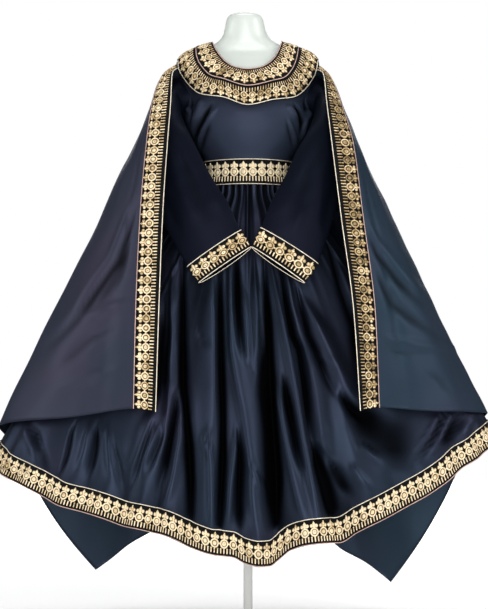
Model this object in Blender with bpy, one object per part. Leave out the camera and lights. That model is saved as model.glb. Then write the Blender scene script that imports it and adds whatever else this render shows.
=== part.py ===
"""Afghan bridal dress with an open-front cape, worn by a smooth limbless dress form on a stand.

Metres, +Z up. The dress faces -Y and +X is the right-hand side of a viewer in front of it.
The origin is the centre of the flat underside of the stand's base.
Every cloth piece is a thin closed wall worked out from a grid of points on its middle surface.
"""
import math

import bpy
import numpy as np

SATIN_WALL = 0.0014          # thickness of the satin panels
BAND_WALL = 0.0014           # thickness of the embroidered bands
SEAM_GAP = 0.0003            # space left between pieces at seams
BODICE_LIFT = 0.0022         # middle of the bodice wall outside the form
BODICE_TOP_RISE = 0.0031     # how much the bodice's top edge rises to the collar
BODICE_LAP = 0.012           # how far the bodice runs up under the collar
SIDE_SEAM_TURN = 0.0054      # angle from the side to a bodice panel's seam edge
COLLAR_LIFT = 0.0075         # middle of the collar wall outside the form
BAND_CLEARANCE = 0.0009      # space under a band that lies on a panel
BAND_LIFT = SATIN_WALL / 2 + BAND_WALL / 2 + BAND_CLEARANCE
COLLAR_SEAM = 0.015          # share of a collar ring's width left open at its seams
CORD_INSET = 0.045           # share of a ring's width from its edge to the piping on it
CORD_RADIUS = 0.0019         # radius of the gold piping round the collar

WAIST_HEIGHT = 1.2425        # seam of bodice and skirt, behind the belt
UNDERARM_HEIGHT = 1.395
SHOULDER_TIP_HEIGHT = 1.510
ARMHOLE_HALF_DEPTH = 0.0325
ARMHOLE_SEAM = 0.0034        # space between an armhole's edge and the middle of the sleeve's wall
ARMHOLE_BOW = 0.018          # how far a sleeve's second ring follows the body's round side
GATHER_HEIGHT = 0.0026       # from the middle surface to a gather's crest
GATHER_REACH = 0.16          # share of the way down where the gathers have run out
SKIRT_SEAM_TURN = 0.0050     # angle from the side to a skirt panel's seam edge
HEM_BAND_HEIGHT = 0.069
CUFF_HEIGHT = 0.061
CUFF_TILT = 0.009            # how much lower the back of a sleeve's mouth hangs than its front

BASE_RADIUS = 0.165
BASE_THICKNESS = 0.010
POLE_RADIUS = 0.0125
FLANGE_RADIUS = 0.050

SATIN = ("satin_navy", (0.0140, 0.0195, 0.0340), 0.38, 0.0)
EMBROIDERY = ("embroidered_band", (0.3300, 0.2250, 0.0900), 0.55, 0.25)
PIPING = ("gold_piping", (0.6600, 0.4900, 0.2400), 0.45, 0.30)
FORM_WHITE = ("form_white", (0.7900, 0.8100, 0.7700), 0.30, 0.0)
STAND_WHITE = ("stand_white", (0.8000, 0.8000, 0.7800), 0.40, 0.0)

# height, half width and half depth of the dress form
BODY = (
    (0.985, 0.1200, 0.0840),
    (1.000, 0.1380, 0.0970),
    (1.060, 0.1450, 0.1030),
    (1.140, 0.1290, 0.0940),
    (1.200, 0.1160, 0.0885),
    (1.240, 0.1130, 0.0870),
    (1.280, 0.1180, 0.0915),
    (1.320, 0.1280, 0.0995),
    (1.360, 0.1410, 0.1080),
    (1.400, 0.1520, 0.1100),
    (1.450, 0.1640, 0.1010),
    (1.500, 0.1800, 0.0850),
    (1.530, 0.1900, 0.0710),
    (1.548, 0.1890, 0.0600),
    (1.562, 0.1790, 0.0530),
    (1.572, 0.1650, 0.0485),
    (1.580, 0.1470, 0.0470),
    (1.587, 0.1320, 0.0475),
    (1.593, 0.1110, 0.0490),
    (1.599, 0.0920, 0.0510),
    (1.608, 0.0780, 0.0520),
    (1.622, 0.0640, 0.0520),
    (1.642, 0.0560, 0.0510),
    (1.668, 0.0510, 0.0480),
    (1.682, 0.0465, 0.0440),
    (1.689, 0.0380, 0.0360),
)

# height, and how much wider and deeper than the form the loose bodice is, on each side
BODICE_EASE = (
    (1.2850, 0.0000, 0.0000),
    (1.3300, 0.0170, 0.0040),
    (1.3850, 0.0230, 0.0040),
    (1.4120, 0.0170, 0.0000),
    (1.4450, 0.0018, 0.0000),
)

# collar outlines from one shoulder ridge over the front to the other: x and height
COLLAR_NECK = (
    (-0.0970, 1.606), (-0.0900, 1.590), (-0.0790, 1.571), (-0.0560, 1.544), (-0.0300, 1.530),
    (0.0000, 1.526), (0.0300, 1.530), (0.0560, 1.544), (0.0770, 1.569), (0.0860, 1.590),
    (0.0920, 1.607),
)
COLLAR_MIDDLE = (
    (-0.1440, 1.594), (-0.1430, 1.572), (-0.1370, 1.550), (-0.1030, 1.508), (-0.0680, 1.497),
    (0.0000, 1.477), (0.0680, 1.492), (0.0990, 1.501), (0.1250, 1.533), (0.1350, 1.564),
    (0.1400, 1.592),
)
COLLAR_EDGE = (
    (-0.1965, 1.552), (-0.1935, 1.530), (-0.1800, 1.503), (-0.1320, 1.455), (-0.0680, 1.443),
    (0.0000, 1.421), (0.0680, 1.436), (0.1280, 1.446), (0.1720, 1.487), (0.1910, 1.524),
    (0.1955, 1.552),
)
# the same three outlines over the back
COLLAR_BACK_NECK = (
    (-0.0970, 1.606), (-0.0900, 1.594), (-0.0760, 1.580), (0.0000, 1.566), (0.0720, 1.580),
    (0.0860, 1.594), (0.0920, 1.607),
)
COLLAR_BACK_MIDDLE = (
    (-0.1440, 1.594), (-0.1400, 1.570), (-0.1150, 1.536), (0.0000, 1.508), (0.1130, 1.536),
    (0.1360, 1.570), (0.1400, 1.592),
)
COLLAR_BACK_EDGE = (
    (-0.1965, 1.552), (-0.1900, 1.524), (-0.1550, 1.478), (0.0000, 1.446), (0.1530, 1.478),
    (0.1890, 1.524), (0.1955, 1.552),
)

# skirt's hem over the front and over the back: x and height
HEM_FRONT = (
    (-0.712, 0.448), (-0.690, 0.432), (-0.677, 0.419), (-0.612, 0.391), (-0.549, 0.362),
    (-0.502, 0.339), (-0.450, 0.328), (-0.390, 0.311), (-0.330, 0.291), (-0.271, 0.279),
    (-0.231, 0.271), (-0.194, 0.256), (-0.154, 0.238), (-0.090, 0.217), (-0.040, 0.212),
    (-0.006, 0.194), (0.026, 0.186), (0.055, 0.188), (0.083, 0.209), (0.113, 0.230),
    (0.161, 0.243), (0.220, 0.248), (0.244, 0.249), (0.294, 0.276), (0.373, 0.314),
    (0.438, 0.347), (0.493, 0.376), (0.535, 0.403), (0.574, 0.436), (0.617, 0.459),
    (0.653, 0.484), (0.690, 0.506),
)
HEM_BACK = (
    (-0.712, 0.448), (-0.610, 0.400), (-0.480, 0.345), (-0.330, 0.300), (-0.160, 0.265),
    (0.000, 0.254), (0.160, 0.267), (0.330, 0.306), (0.480, 0.362), (0.600, 0.440),
    (0.690, 0.506),
)
# share of the way from waist to hem, share of the way out, front half depth, back half depth
SKIRT_PROFILE = (
    (0.00, 0.000, 0.0915, 0.0905),
    (0.055, 0.006, 0.0945, 0.0935),
    (0.12, 0.100, 0.1140, 0.1090),
    (0.30, 0.295, 0.1500, 0.1420),
    (0.55, 0.555, 0.1980, 0.1860),
    (0.80, 0.805, 0.2420, 0.2250),
    (1.00, 1.000, 0.2700, 0.2500),
)
WAIST_HALF_WIDTH = 0.1180
# skirt folds at the hem: degrees from the panel's centre, towards the viewer's right on the
# front, and how far the cloth stands out (a crest) or in (a hollow)
FRONT_FOLDS = (
    (-90.0, 0.000), (-84.5, -0.007), (-79.0, 0.007), (-74.0, -0.008), (-69.0, 0.009),
    (-63.5, -0.009), (-58.0, 0.011), (-51.0, -0.011), (-44.5, 0.013), (-39.0, -0.011),
    (-33.7, 0.013), (-29.0, -0.014), (-24.5, 0.016), (-20.5, -0.014), (-17.0, 0.011),
    (-13.5, -0.016), (-8.5, 0.008), (-3.8, -0.004), (1.8, 0.036), (8.2, -0.016),
    (14.5, 0.016), (22.3, -0.020), (29.0, 0.012), (36.0, -0.010), (42.0, 0.008),
    (47.0, -0.008), (52.5, 0.009), (57.5, -0.008), (63.0, 0.008), (68.0, -0.007),
    (73.0, 0.007), (78.0, -0.006), (83.5, 0.006), (90.0, 0.000),
)
BACK_FOLDS = (
    (-90.0, 0.000), (-84.0, 0.008), (-78.0, -0.009), (-71.0, 0.011), (-64.5, -0.012),
    (-57.0, 0.014), (-50.0, -0.014), (-42.0, 0.016), (-35.5, -0.014), (-28.0, 0.017),
    (-21.0, -0.016), (-14.0, 0.015), (-7.0, -0.017), (0.5, 0.019), (8.0, -0.016),
    (15.0, 0.016), (22.5, -0.015), (29.0, 0.015), (37.0, -0.014), (43.5, 0.014),
    (51.0, -0.012), (58.5, 0.012), (65.0, -0.011), (72.0, 0.010), (79.0, -0.008),
    (84.5, 0.007), (90.0, 0.000),
)
FOLD_GROWTH = 0.75           # share of the way down where the folds have their full depth

# height, half width and half depth of the belt's middle surface
BELT = (
    (1.2095, 0.1262, 0.0996),
    (1.2430, 0.1226, 0.0960),
    (1.2770, 0.1230, 0.0960),
)

# sleeve rings: inner edge x, y, z, outer edge x, y, z, half depth
SLEEVE_LEFT = (
    (-0.1880, 0.000, 1.3920, -0.1990, 0.000, 1.5080, 0.033),
    (-0.1890, -0.018, 1.3880, -0.2220, -0.004, 1.4960, 0.033),
    (-0.1810, -0.058, 1.3880, -0.2480, -0.028, 1.4520, 0.034),
    (-0.1640, -0.110, 1.3530, -0.2590, -0.060, 1.3640, 0.031),
    (-0.1250, -0.140, 1.2740, -0.2640, -0.094, 1.2690, 0.027),
    (-0.0920, -0.160, 1.2110, -0.2580, -0.128, 1.1770, 0.024),
    (-0.0540, -0.178, 1.1520, -0.2260, -0.162, 1.0970, 0.021),
    (-0.0240, -0.190, 1.0850, -0.1660, -0.190, 0.9900, 0.017),
    (0.0060, -0.200, 1.0330, -0.1300, -0.200, 0.9400, 0.014),
)
SLEEVE_RIGHT = (
    (0.1880, 0.000, 1.3920, 0.1980, 0.000, 1.5080, 0.033),
    (0.1890, -0.018, 1.3880, 0.2220, -0.004, 1.4960, 0.033),
    (0.1800, -0.058, 1.3880, 0.2480, -0.028, 1.4520, 0.034),
    (0.1640, -0.110, 1.3530, 0.2590, -0.060, 1.3640, 0.031),
    (0.1260, -0.140, 1.2840, 0.2620, -0.094, 1.2690, 0.027),
    (0.0940, -0.160, 1.2150, 0.2520, -0.128, 1.1770, 0.024),
    (0.0610, -0.178, 1.1520, 0.2260, -0.160, 1.1000, 0.021),
    (0.0350, -0.190, 1.0850, 0.1850, -0.190, 0.9910, 0.017),
    (0.0120, -0.200, 1.0330, 0.1490, -0.200, 0.9400, 0.014),
)

# cape: share of the way down, then x, y, z; one table for each line from the top edge to the hem
CAPE_LEFT = {
    "front_edge": (
        (0.05, -0.2060, -0.0560, 1.5130),
        (0.14, -0.2090, -0.1180, 1.4270), (0.25, -0.2160, -0.1600, 1.3200),
        (0.45, -0.2270, -0.2120, 1.1250), (0.72, -0.2370, -0.2400, 0.8630),
        (1.00, -0.2450, -0.2560, 0.5950),
    ),
    "band_edge": (
        (0.05, -0.2330, -0.0330, 1.5110),
        (0.14, -0.2600, -0.0900, 1.4220), (0.25, -0.2730, -0.1360, 1.3180),
        (0.45, -0.2880, -0.1880, 1.1230), (0.72, -0.2990, -0.2280, 0.8620),
        (1.00, -0.3040, -0.2460, 0.6030),
    ),
    "front_middle": (
        (0.05, -0.2400, -0.0120, 1.5070),
        (0.14, -0.2680, -0.0500, 1.4200), (0.25, -0.3000, -0.0900, 1.3120),
        (0.45, -0.3480, -0.1400, 1.1180), (0.72, -0.4220, -0.1750, 0.8450),
        (1.00, -0.4750, -0.1850, 0.5770),
    ),
    "side_fold": (
        (0.05, -0.2460, 0.0160, 1.4990),
        (0.14, -0.2720, 0.0140, 1.4150), (0.25, -0.3200, 0.0110, 1.3110),
        (0.45, -0.4040, 0.0080, 1.1290), (0.72, -0.5480, 0.0040, 0.8460),
        (1.00, -0.6920, 0.0000, 0.5410),
    ),
    "back_side": (
        (0.05, -0.2220, 0.0780, 1.4800),
        (0.14, -0.2420, 0.1000, 1.3950), (0.25, -0.2850, 0.1280, 1.2880),
        (0.45, -0.3650, 0.1650, 1.0800), (0.72, -0.5000, 0.1900, 0.7600),
        (1.00, -0.6350, 0.1950, 0.4300),
    ),
    "corner": (
        (0.05, -0.1800, 0.1060, 1.4300),
        (0.14, -0.1860, 0.1260, 1.3250), (0.25, -0.2100, 0.1620, 1.1900),
        (0.45, -0.2600, 0.2130, 0.9300), (0.72, -0.3450, 0.2600, 0.5400),
        (1.00, -0.4400, 0.2620, 0.1200),
    ),
    "back_middle": (
        (0.05, -0.1110, 0.1290, 1.4000),
        (0.14, -0.1140, 0.1500, 1.2950), (0.25, -0.1240, 0.1840, 1.1650),
        (0.45, -0.1450, 0.2380, 0.9250), (0.72, -0.1850, 0.2850, 0.6000),
        (1.00, -0.2300, 0.3000, 0.2560),
    ),
    "back_centre": (
        (0.05, -0.0005, 0.1330, 1.3860),
        (0.14, -0.0005, 0.1540, 1.2850), (0.25, -0.0005, 0.1880, 1.1600),
        (0.45, -0.0005, 0.2420, 0.9350), (0.72, -0.0005, 0.2900, 0.6300),
        (1.00, -0.0005, 0.3060, 0.3100),
    ),
}
CAPE_RIGHT = {
    "front_edge": (
        (0.05, 0.2040, -0.0560, 1.5130),
        (0.14, 0.2120, -0.1180, 1.4270), (0.25, 0.2240, -0.1600, 1.3200),
        (0.45, 0.2460, -0.2120, 1.1250), (0.72, 0.2800, -0.2400, 0.8630),
        (1.00, 0.2970, -0.2560, 0.5980),
    ),
    "band_edge": (
        (0.05, 0.2230, -0.0330, 1.5090),
        (0.14, 0.2540, -0.0900, 1.4200), (0.25, 0.2820, -0.1360, 1.3180),
        (0.45, 0.3060, -0.1880, 1.1220), (0.72, 0.3380, -0.2280, 0.8550),
        (1.00, 0.3480, -0.2460, 0.6060),
    ),
    "front_middle": (
        (0.05, 0.2300, -0.0120, 1.5070),
        (0.14, 0.2620, -0.0500, 1.4180), (0.25, 0.3010, -0.0900, 1.3120),
        (0.45, 0.3560, -0.1400, 1.1160), (0.72, 0.4340, -0.1750, 0.8450),
        (1.00, 0.4960, -0.1850, 0.5930),
    ),
    "side_fold": (
        (0.05, 0.2330, 0.0160, 1.5010),
        (0.14, 0.2670, 0.0140, 1.4200), (0.25, 0.3120, 0.0110, 1.3080),
        (0.45, 0.3940, 0.0080, 1.1280), (0.72, 0.5300, 0.0040, 0.8500),
        (1.00, 0.6620, 0.0000, 0.5780),
    ),
    "back_side": (
        (0.05, 0.2200, 0.0780, 1.4800),
        (0.14, 0.2400, 0.1000, 1.3950), (0.25, 0.2800, 0.1280, 1.2880),
        (0.45, 0.3560, 0.1650, 1.0800), (0.72, 0.4860, 0.1900, 0.7700),
        (1.00, 0.6120, 0.1950, 0.4550),
    ),
    "corner": (
        (0.05, 0.1780, 0.1060, 1.4300),
        (0.14, 0.1840, 0.1260, 1.3250), (0.25, 0.2060, 0.1620, 1.1900),
        (0.45, 0.2480, 0.2130, 0.9250), (0.72, 0.3220, 0.2600, 0.5250),
        (1.00, 0.4050, 0.2620, 0.0900),
    ),
    "back_middle": (
        (0.05, 0.1090, 0.1290, 1.4000),
        (0.14, 0.1120, 0.1500, 1.2950), (0.25, 0.1220, 0.1840, 1.1650),
        (0.45, 0.1430, 0.2380, 0.9250), (0.72, 0.1820, 0.2850, 0.6000),
        (1.00, 0.2250, 0.3000, 0.2400),
    ),
    "back_centre": (
        (0.05, 0.0005, 0.1330, 1.3860),
        (0.14, 0.0005, 0.1540, 1.2850), (0.25, 0.0005, 0.1880, 1.1600),
        (0.45, 0.0005, 0.2420, 0.9350), (0.72, 0.0005, 0.2900, 0.6300),
        (1.00, 0.0005, 0.3060, 0.3100),
    ),
}
# share of the way round for each line above, and the cape's columns
CAPE_LINES = (
    ("front_edge", 0.00), ("band_edge", 0.10), ("front_middle", 0.26), ("side_fold", 0.42),
    ("back_side", 0.56), ("corner", 0.70), ("back_middle", 0.85), ("back_centre", 1.00),
)
CAPE_RIDGE = 0.20            # share of the way round where the cape crosses the shoulder ridge
CAPE_FRONT_PART = 0.090      # share of the collar's front outline that the cape is sewn to
CAPE_CORNER = 5              # number of the cape line that ends in the back corner
CAPE_CORNER_START = 0.55     # share of the way down where the corner begins to show
CAPE_FOLD_START = 0.05       # share of the way down where the cape's folds begin
CAPE_FOLD_GROWTH = 0.6       # share of the way down over which they reach their full height
# soft cape folds: share of the way round, height, width as a share of the way round
CAPE_FOLDS = (
    (0.20, -0.0060, 0.030),
    (0.31, 0.0070, 0.035),
    (0.50, -0.0080, 0.030),
    (0.60, 0.0120, 0.030),
    (0.66, -0.0120, 0.025),
    (0.77, 0.0140, 0.030),
    (0.83, -0.0120, 0.025),
    (0.90, 0.0150, 0.028),
    (0.96, -0.0080, 0.022),
)


def table_value(table, column, at):
    """Value of a table's column where its first column is `at`, smoothed without overshoot."""
    keys = [row[0] for row in table]
    values = [row[column] for row in table]
    if at <= keys[0]:
        return values[0]
    if at >= keys[-1]:
        return values[-1]
    place = max(i for i in range(len(keys) - 1) if keys[i] <= at)
    slopes = [(values[i + 1] - values[i]) / (keys[i + 1] - keys[i]) for i in range(len(keys) - 1)]

    def tangent(i):
        if i == 0:
            return slopes[0]
        if i == len(keys) - 1:
            return slopes[-1]
        left, right = slopes[i - 1], slopes[i]
        if left * right <= 0:
            return 0.0
        return 2 * left * right / (left + right)

    span = keys[place + 1] - keys[place]
    part = (at - keys[place]) / span
    start, end = tangent(place) * span, tangent(place + 1) * span
    return (
        values[place] * (2 * part ** 3 - 3 * part ** 2 + 1)
        + start * (part ** 3 - 2 * part ** 2 + part)
        + values[place + 1] * (3 * part ** 2 - 2 * part ** 3)
        + end * (part ** 3 - part ** 2)
    )


def along(points, share):
    """Point at a share of the way along a row of points, by the points' numbering."""
    place = min(max(share, 0.0), 1.0) * (len(points) - 1)
    table = [(float(i),) + tuple(point) for i, point in enumerate(points)]
    return [table_value(table, c, place) for c in range(1, len(table[0]))]


def body_half(height, lift):
    """Half width and half depth of the form at a height, moved out by `lift`."""
    lowered = height - lift if height > UNDERARM_HEIGHT else height
    return table_value(BODY, 1, lowered) + lift, table_value(BODY, 2, lowered) + lift


def ridge_height(x, lift):
    """Height of the shoulder ridge of the lifted form above x."""
    height = BODY[-1][0]
    while body_half(height, lift)[0] < abs(x) and height > SHOULDER_TIP_HEIGHT:
        height -= 0.0002
    return height


def on_body(x, height, lift, side):
    """Point of the lifted form surface above x; side is -1 for the front and 1 for the back."""
    width, depth = body_half(height, lift)
    inside = max(0.0, 1.0 - (x / width) ** 2)
    return (x, side * depth * math.sqrt(inside), height)


def grid_normals(grid, closed):
    """Unit normals of a grid of points; closed means that the columns run all round."""
    if closed:
        across = np.roll(grid, -1, axis=1) - np.roll(grid, 1, axis=1)
    else:
        across = np.gradient(grid, axis=1)
    down = np.gradient(grid, axis=0)
    normals = np.cross(across, down)
    length = np.linalg.norm(normals, axis=2, keepdims=True)
    return normals / np.maximum(length, 1e-12)


def new_material(spec):
    name, colour, roughness, metallic = spec
    material = bpy.data.materials.get(name)
    if material:
        return material
    material = bpy.data.materials.new(name)
    material.use_nodes = True
    shader = material.node_tree.nodes["Principled BSDF"]
    shader.inputs["Base Color"].default_value = (*colour, 1.0)
    shader.inputs["Roughness"].default_value = roughness
    shader.inputs["Metallic"].default_value = metallic
    material.diffuse_color = (*colour, 1.0)
    return material


def add_piece(name, vertices, faces, spec):
    """New smooth-shaded object in the dress collection."""
    mesh = bpy.data.meshes.new(name)
    mesh.from_pydata([tuple(map(float, v)) for v in vertices], [], faces)
    mesh.validate()
    mesh.materials.append(new_material(spec))
    piece = bpy.data.objects.new(name, mesh)
    dress.objects.link(piece)
    mesh.polygons.foreach_set("use_smooth", [True] * len(mesh.polygons))
    mesh.update()
    if signed_volume(mesh) < 0:
        mesh.flip_normals()
        mesh.update()
    return piece


def signed_volume(mesh):
    """Volume enclosed by a closed mesh; negative when its faces look inward."""
    total = 0.0
    for polygon in mesh.polygons:
        corners = [mesh.vertices[i].co for i in polygon.vertices]
        for i in range(1, len(corners) - 1):
            total += corners[0].dot(corners[i].cross(corners[i + 1]))
    return total / 6


def wall(name, grid, thickness, spec, closed=False, side_seams=False):
    """Closed thin wall whose middle surface is the grid; side seams are cut square to Y."""
    grid = np.asarray(grid, dtype=float)
    normals = grid_normals(grid, closed)
    if side_seams:
        normals[:, (0, -1), 1] = 0.0
    rows, columns = grid.shape[:2]
    outer = (grid + normals * thickness / 2).reshape(-1, 3)
    inner = (grid - normals * thickness / 2).reshape(-1, 3)
    vertices = np.vstack((outer, inner))
    count = rows * columns
    faces = []
    steps = columns if closed else columns - 1
    for r in range(rows - 1):
        for c in range(steps):
            after = (c + 1) % columns
            near, far = r * columns, (r + 1) * columns
            faces.append((near + c, near + after, far + after))
            faces.append((near + c, far + after, far + c))
            faces.append((count + near + c, count + far + after, count + near + after))
            faces.append((count + near + c, count + far + c, count + far + after))
    for c in range(steps):
        after = (c + 1) % columns
        last = (rows - 1) * columns
        faces.append((after, c, count + c, count + after))
        faces.append((last + c, last + after, count + last + after, count + last + c))
    if not closed:
        for r in range(rows - 1):
            left, below = r * columns, (r + 1) * columns
            faces.append((left, below, count + below, count + left))
            right, under = left + columns - 1, below + columns - 1
            faces.append((under, right, count + right, count + under))
    return add_piece(name, vertices, faces, spec)


def cord(name, points, radius, spec, sides=4):
    """Round cord through a closed ring of points."""
    points = np.asarray(points, dtype=float)
    count = len(points)
    vertices, faces = [], []
    for i, point in enumerate(points):
        heading = points[(i + 1) % count] - points[i - 1]
        heading /= np.linalg.norm(heading)
        outward = np.array((point[0], point[1], 0.0))
        outward -= heading * outward.dot(heading)
        outward /= np.linalg.norm(outward)
        across = np.cross(heading, outward)
        for k in range(sides):
            turn = 2 * math.pi * k / sides
            vertices.append(point + radius * (math.cos(turn) * outward + math.sin(turn) * across))
    for i in range(count):
        for k in range(sides):
            here, there = i * sides, ((i + 1) % count) * sides
            k2 = (k + 1) % sides
            faces.append((here + k, there + k, there + k2, here + k2))
    return add_piece(name, vertices, faces, spec)


def lathe(name, profile, spec, sides):
    """Solid turned about the vertical axis from (radius, height) pairs, closed at both ends."""
    vertices, faces = [], []
    for radius, height in profile:
        for k in range(sides):
            turn = 2 * math.pi * k / sides
            vertices.append((radius * math.cos(turn), radius * math.sin(turn), height))
    for r in range(len(profile) - 1):
        for k in range(sides):
            k2 = (k + 1) % sides
            faces.append((r * sides + k, r * sides + k2, (r + 1) * sides + k2, (r + 1) * sides + k))
    faces.append(tuple(reversed(range(sides))))
    last = (len(profile) - 1) * sides
    faces.append(tuple(last + k for k in range(sides)))
    return add_piece(name, vertices, faces, spec)


def build_form():
    """Smooth limbless body with its neck, and the stand under it."""
    sides = 24
    vertices, faces = [], []
    for height, width, depth in BODY:
        for k in range(sides):
            turn = 2 * math.pi * k / sides
            vertices.append((width * math.sin(turn), -depth * math.cos(turn), height))
    for r in range(len(BODY) - 1):
        for k in range(sides):
            k2 = (k + 1) % sides
            faces.append((r * sides + k, r * sides + k2, (r + 1) * sides + k2, (r + 1) * sides + k))
    faces.append(tuple(reversed(range(sides))))
    last = (len(BODY) - 1) * sides
    faces.append(tuple(last + k for k in range(sides)))
    add_piece("form_body", vertices, faces, FORM_WHITE)

    flange_top = BODY[0][0] - SEAM_GAP
    pole = (
        (POLE_RADIUS, BASE_THICKNESS + 0.012 + SEAM_GAP),
        (POLE_RADIUS, flange_top - 0.020),
        (POLE_RADIUS + 0.010, flange_top - 0.012),
        (FLANGE_RADIUS, flange_top - 0.006),
        (FLANGE_RADIUS, flange_top),
    )
    lathe("form_pole", pole, STAND_WHITE, 16)
    base = (
        (BASE_RADIUS - 0.002, 0.0),
        (BASE_RADIUS, 0.002),
        (BASE_RADIUS, BASE_THICKNESS - 0.003),
        (BASE_RADIUS - 0.003, BASE_THICKNESS),
        (0.030, BASE_THICKNESS + 0.004),
        (0.022, BASE_THICKNESS + 0.010),
        (0.018, BASE_THICKNESS + 0.012),
    )
    lathe("form_base", base, STAND_WHITE, 40)


def armhole_half_depth(height):
    """Half depth of the armhole at a height; nothing at the underarm and the shoulder tip."""
    share = (height - UNDERARM_HEIGHT) / (SHOULDER_TIP_HEIGHT - UNDERARM_HEIGHT)
    return ARMHOLE_HALF_DEPTH * math.sin(math.pi * min(max(share, 0.0), 1.0))


def bodice_half(height, lift):
    """Half width and half depth of the loose bodice at a height."""
    width, depth = body_half(height, lift)
    return width + table_value(BODICE_EASE, 1, height), depth + table_value(BODICE_EASE, 2, height)


def bodice_side_turn(height):
    """Angle from the centre to a bodice panel's side edge: the side seam, or the armhole above it."""
    depth = bodice_half(height, BODICE_LIFT)[1]
    return min(math.acos(armhole_half_depth(height) / depth), math.pi / 2 - SIDE_SEAM_TURN)


def bodice_top(across, edge):
    """Height of the bodice's upper edge, hidden under the collar; across is -1 to 1."""
    height = table_value(edge, 1, 0.0)
    for _ in range(12):
        x = bodice_half(height, BODICE_LIFT)[0] * math.sin(across * bodice_side_turn(height))
        wanted = min(table_value(edge, 1, x) + BODICE_LAP, SHOULDER_TIP_HEIGHT - BODICE_LAP / 2)
        height = (height + wanted) / 2
    return height


def build_bodice():
    low_rows, high_rows, columns = 5, 5, 23
    low = WAIST_HEIGHT + SATIN_WALL
    for name, side, edge in (
        ("bodice_front", -1, COLLAR_EDGE),
        ("bodice_back", 1, COLLAR_BACK_EDGE),
    ):
        grid = np.zeros((low_rows + high_rows, columns, 3))
        for c in range(columns):
            across = 2 * c / (columns - 1) - 1
            top = bodice_top(across, edge)
            heights = [top + (UNDERARM_HEIGHT - top) * r / high_rows for r in range(high_rows)]
            for r in range(low_rows):
                heights.append(UNDERARM_HEIGHT + (low - UNDERARM_HEIGHT) * r / (low_rows - 1))
            for r, height in enumerate(heights):
                turn = across * bodice_side_turn(height)
                near_top = (height - low) / (top - low)
                lift = BODICE_LIFT + BODICE_TOP_RISE * near_top ** 6 * math.cos(turn) ** 4
                width, depth = bodice_half(height, lift)
                grid[r, c] = (width * math.sin(turn), side * depth * math.cos(turn), height)
        if side > 0:
            grid = grid[:, ::-1]
        wall(name, grid, SATIN_WALL, SATIN)


def collar_ring(front, back, count, lift):
    """Ring of points on the body: over the front from left to right and back over the back."""
    ring = []
    for i in range(2 * count):
        over_front = i < count
        x, height = along(front, i / count) if over_front else along(back, 2 - i / count)
        if i in (0, count):
            height = max(height, ridge_height(x, lift))
        ring.append(on_body(x, height, lift, -1 if over_front else 1))
    return np.array(ring)


def blend_on_body(front_a, back_a, front_b, back_b, share, count, lift):
    """Ring between two pairs of collar outlines."""
    ring = []
    for i in range(2 * count):
        over_front = i < count
        place = i / count if over_front else 2 - i / count
        a = along(front_a if over_front else back_a, place)
        b = along(front_b if over_front else back_b, place)
        x = a[0] + (b[0] - a[0]) * share
        height = a[1] + (b[1] - a[1]) * share
        if i in (0, count):
            height = max(height, ridge_height(x, lift))
        ring.append(on_body(x, height, lift, -1 if over_front else 1))
    return np.array(ring)


def build_collar():
    count, rows = 24, 3
    neck = (COLLAR_NECK, COLLAR_BACK_NECK)
    middle = (COLLAR_MIDDLE, COLLAR_BACK_MIDDLE)
    edge = (COLLAR_EDGE, COLLAR_BACK_EDGE)
    for name, inside, outside in (("collar_inner", neck, middle), ("collar_outer", middle, edge)):
        grid = []
        for r in range(rows):
            share = COLLAR_SEAM + (1 - 2 * COLLAR_SEAM) * r / (rows - 1)
            grid.append(blend_on_body(*inside, *outside, share, count, COLLAR_LIFT))
        wall(name, np.array(grid)[:, ::-1], BAND_WALL, EMBROIDERY, closed=True)
    cord_lift = COLLAR_LIFT + BAND_WALL / 2 + CORD_RADIUS + 2 * SEAM_GAP
    neck_ring = blend_on_body(*neck, *middle, CORD_INSET, count, cord_lift + CORD_RADIUS / 3)
    cord("collar_cord_neck", neck_ring, CORD_RADIUS, PIPING)
    middle_ring = collar_ring(*middle, count, cord_lift + CORD_RADIUS / 4)
    cord("collar_cord_middle", middle_ring, CORD_RADIUS, PIPING)
    edge_ring = blend_on_body(*middle, *edge, 1 - CORD_INSET, count, cord_lift)
    cord("collar_cord_edge", edge_ring, CORD_RADIUS, PIPING)


def skirt_point(turn, share):
    """Middle surface of the skirt: angle from the front centre and share of the way down."""
    side = math.sin(turn)
    over_front = math.cos(turn) >= 0
    hem = HEM_FRONT if over_front else HEM_BACK
    reach = abs(hem[0][0]) if side < 0 else hem[-1][0]
    hem_x = reach * side
    hem_z = table_value(hem, 1, hem_x)
    outward = table_value(SKIRT_PROFILE, 1, share)
    depth = table_value(SKIRT_PROFILE, 2 if over_front else 3, share)
    x = WAIST_HALF_WIDTH * side * (1 - outward) + hem_x * outward
    y = -depth * math.cos(turn)
    z = WAIST_HEIGHT - SATIN_WALL + (hem_z - WAIST_HEIGHT) * share
    return np.array((x, y, z))


def skirt_fold(folds, degrees, share):
    """How far the large folds stand out at an angle and a share of the way down."""
    return table_value(folds, 1, degrees) * min(1.0, share / FOLD_GROWTH) ** 1.2


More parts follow.
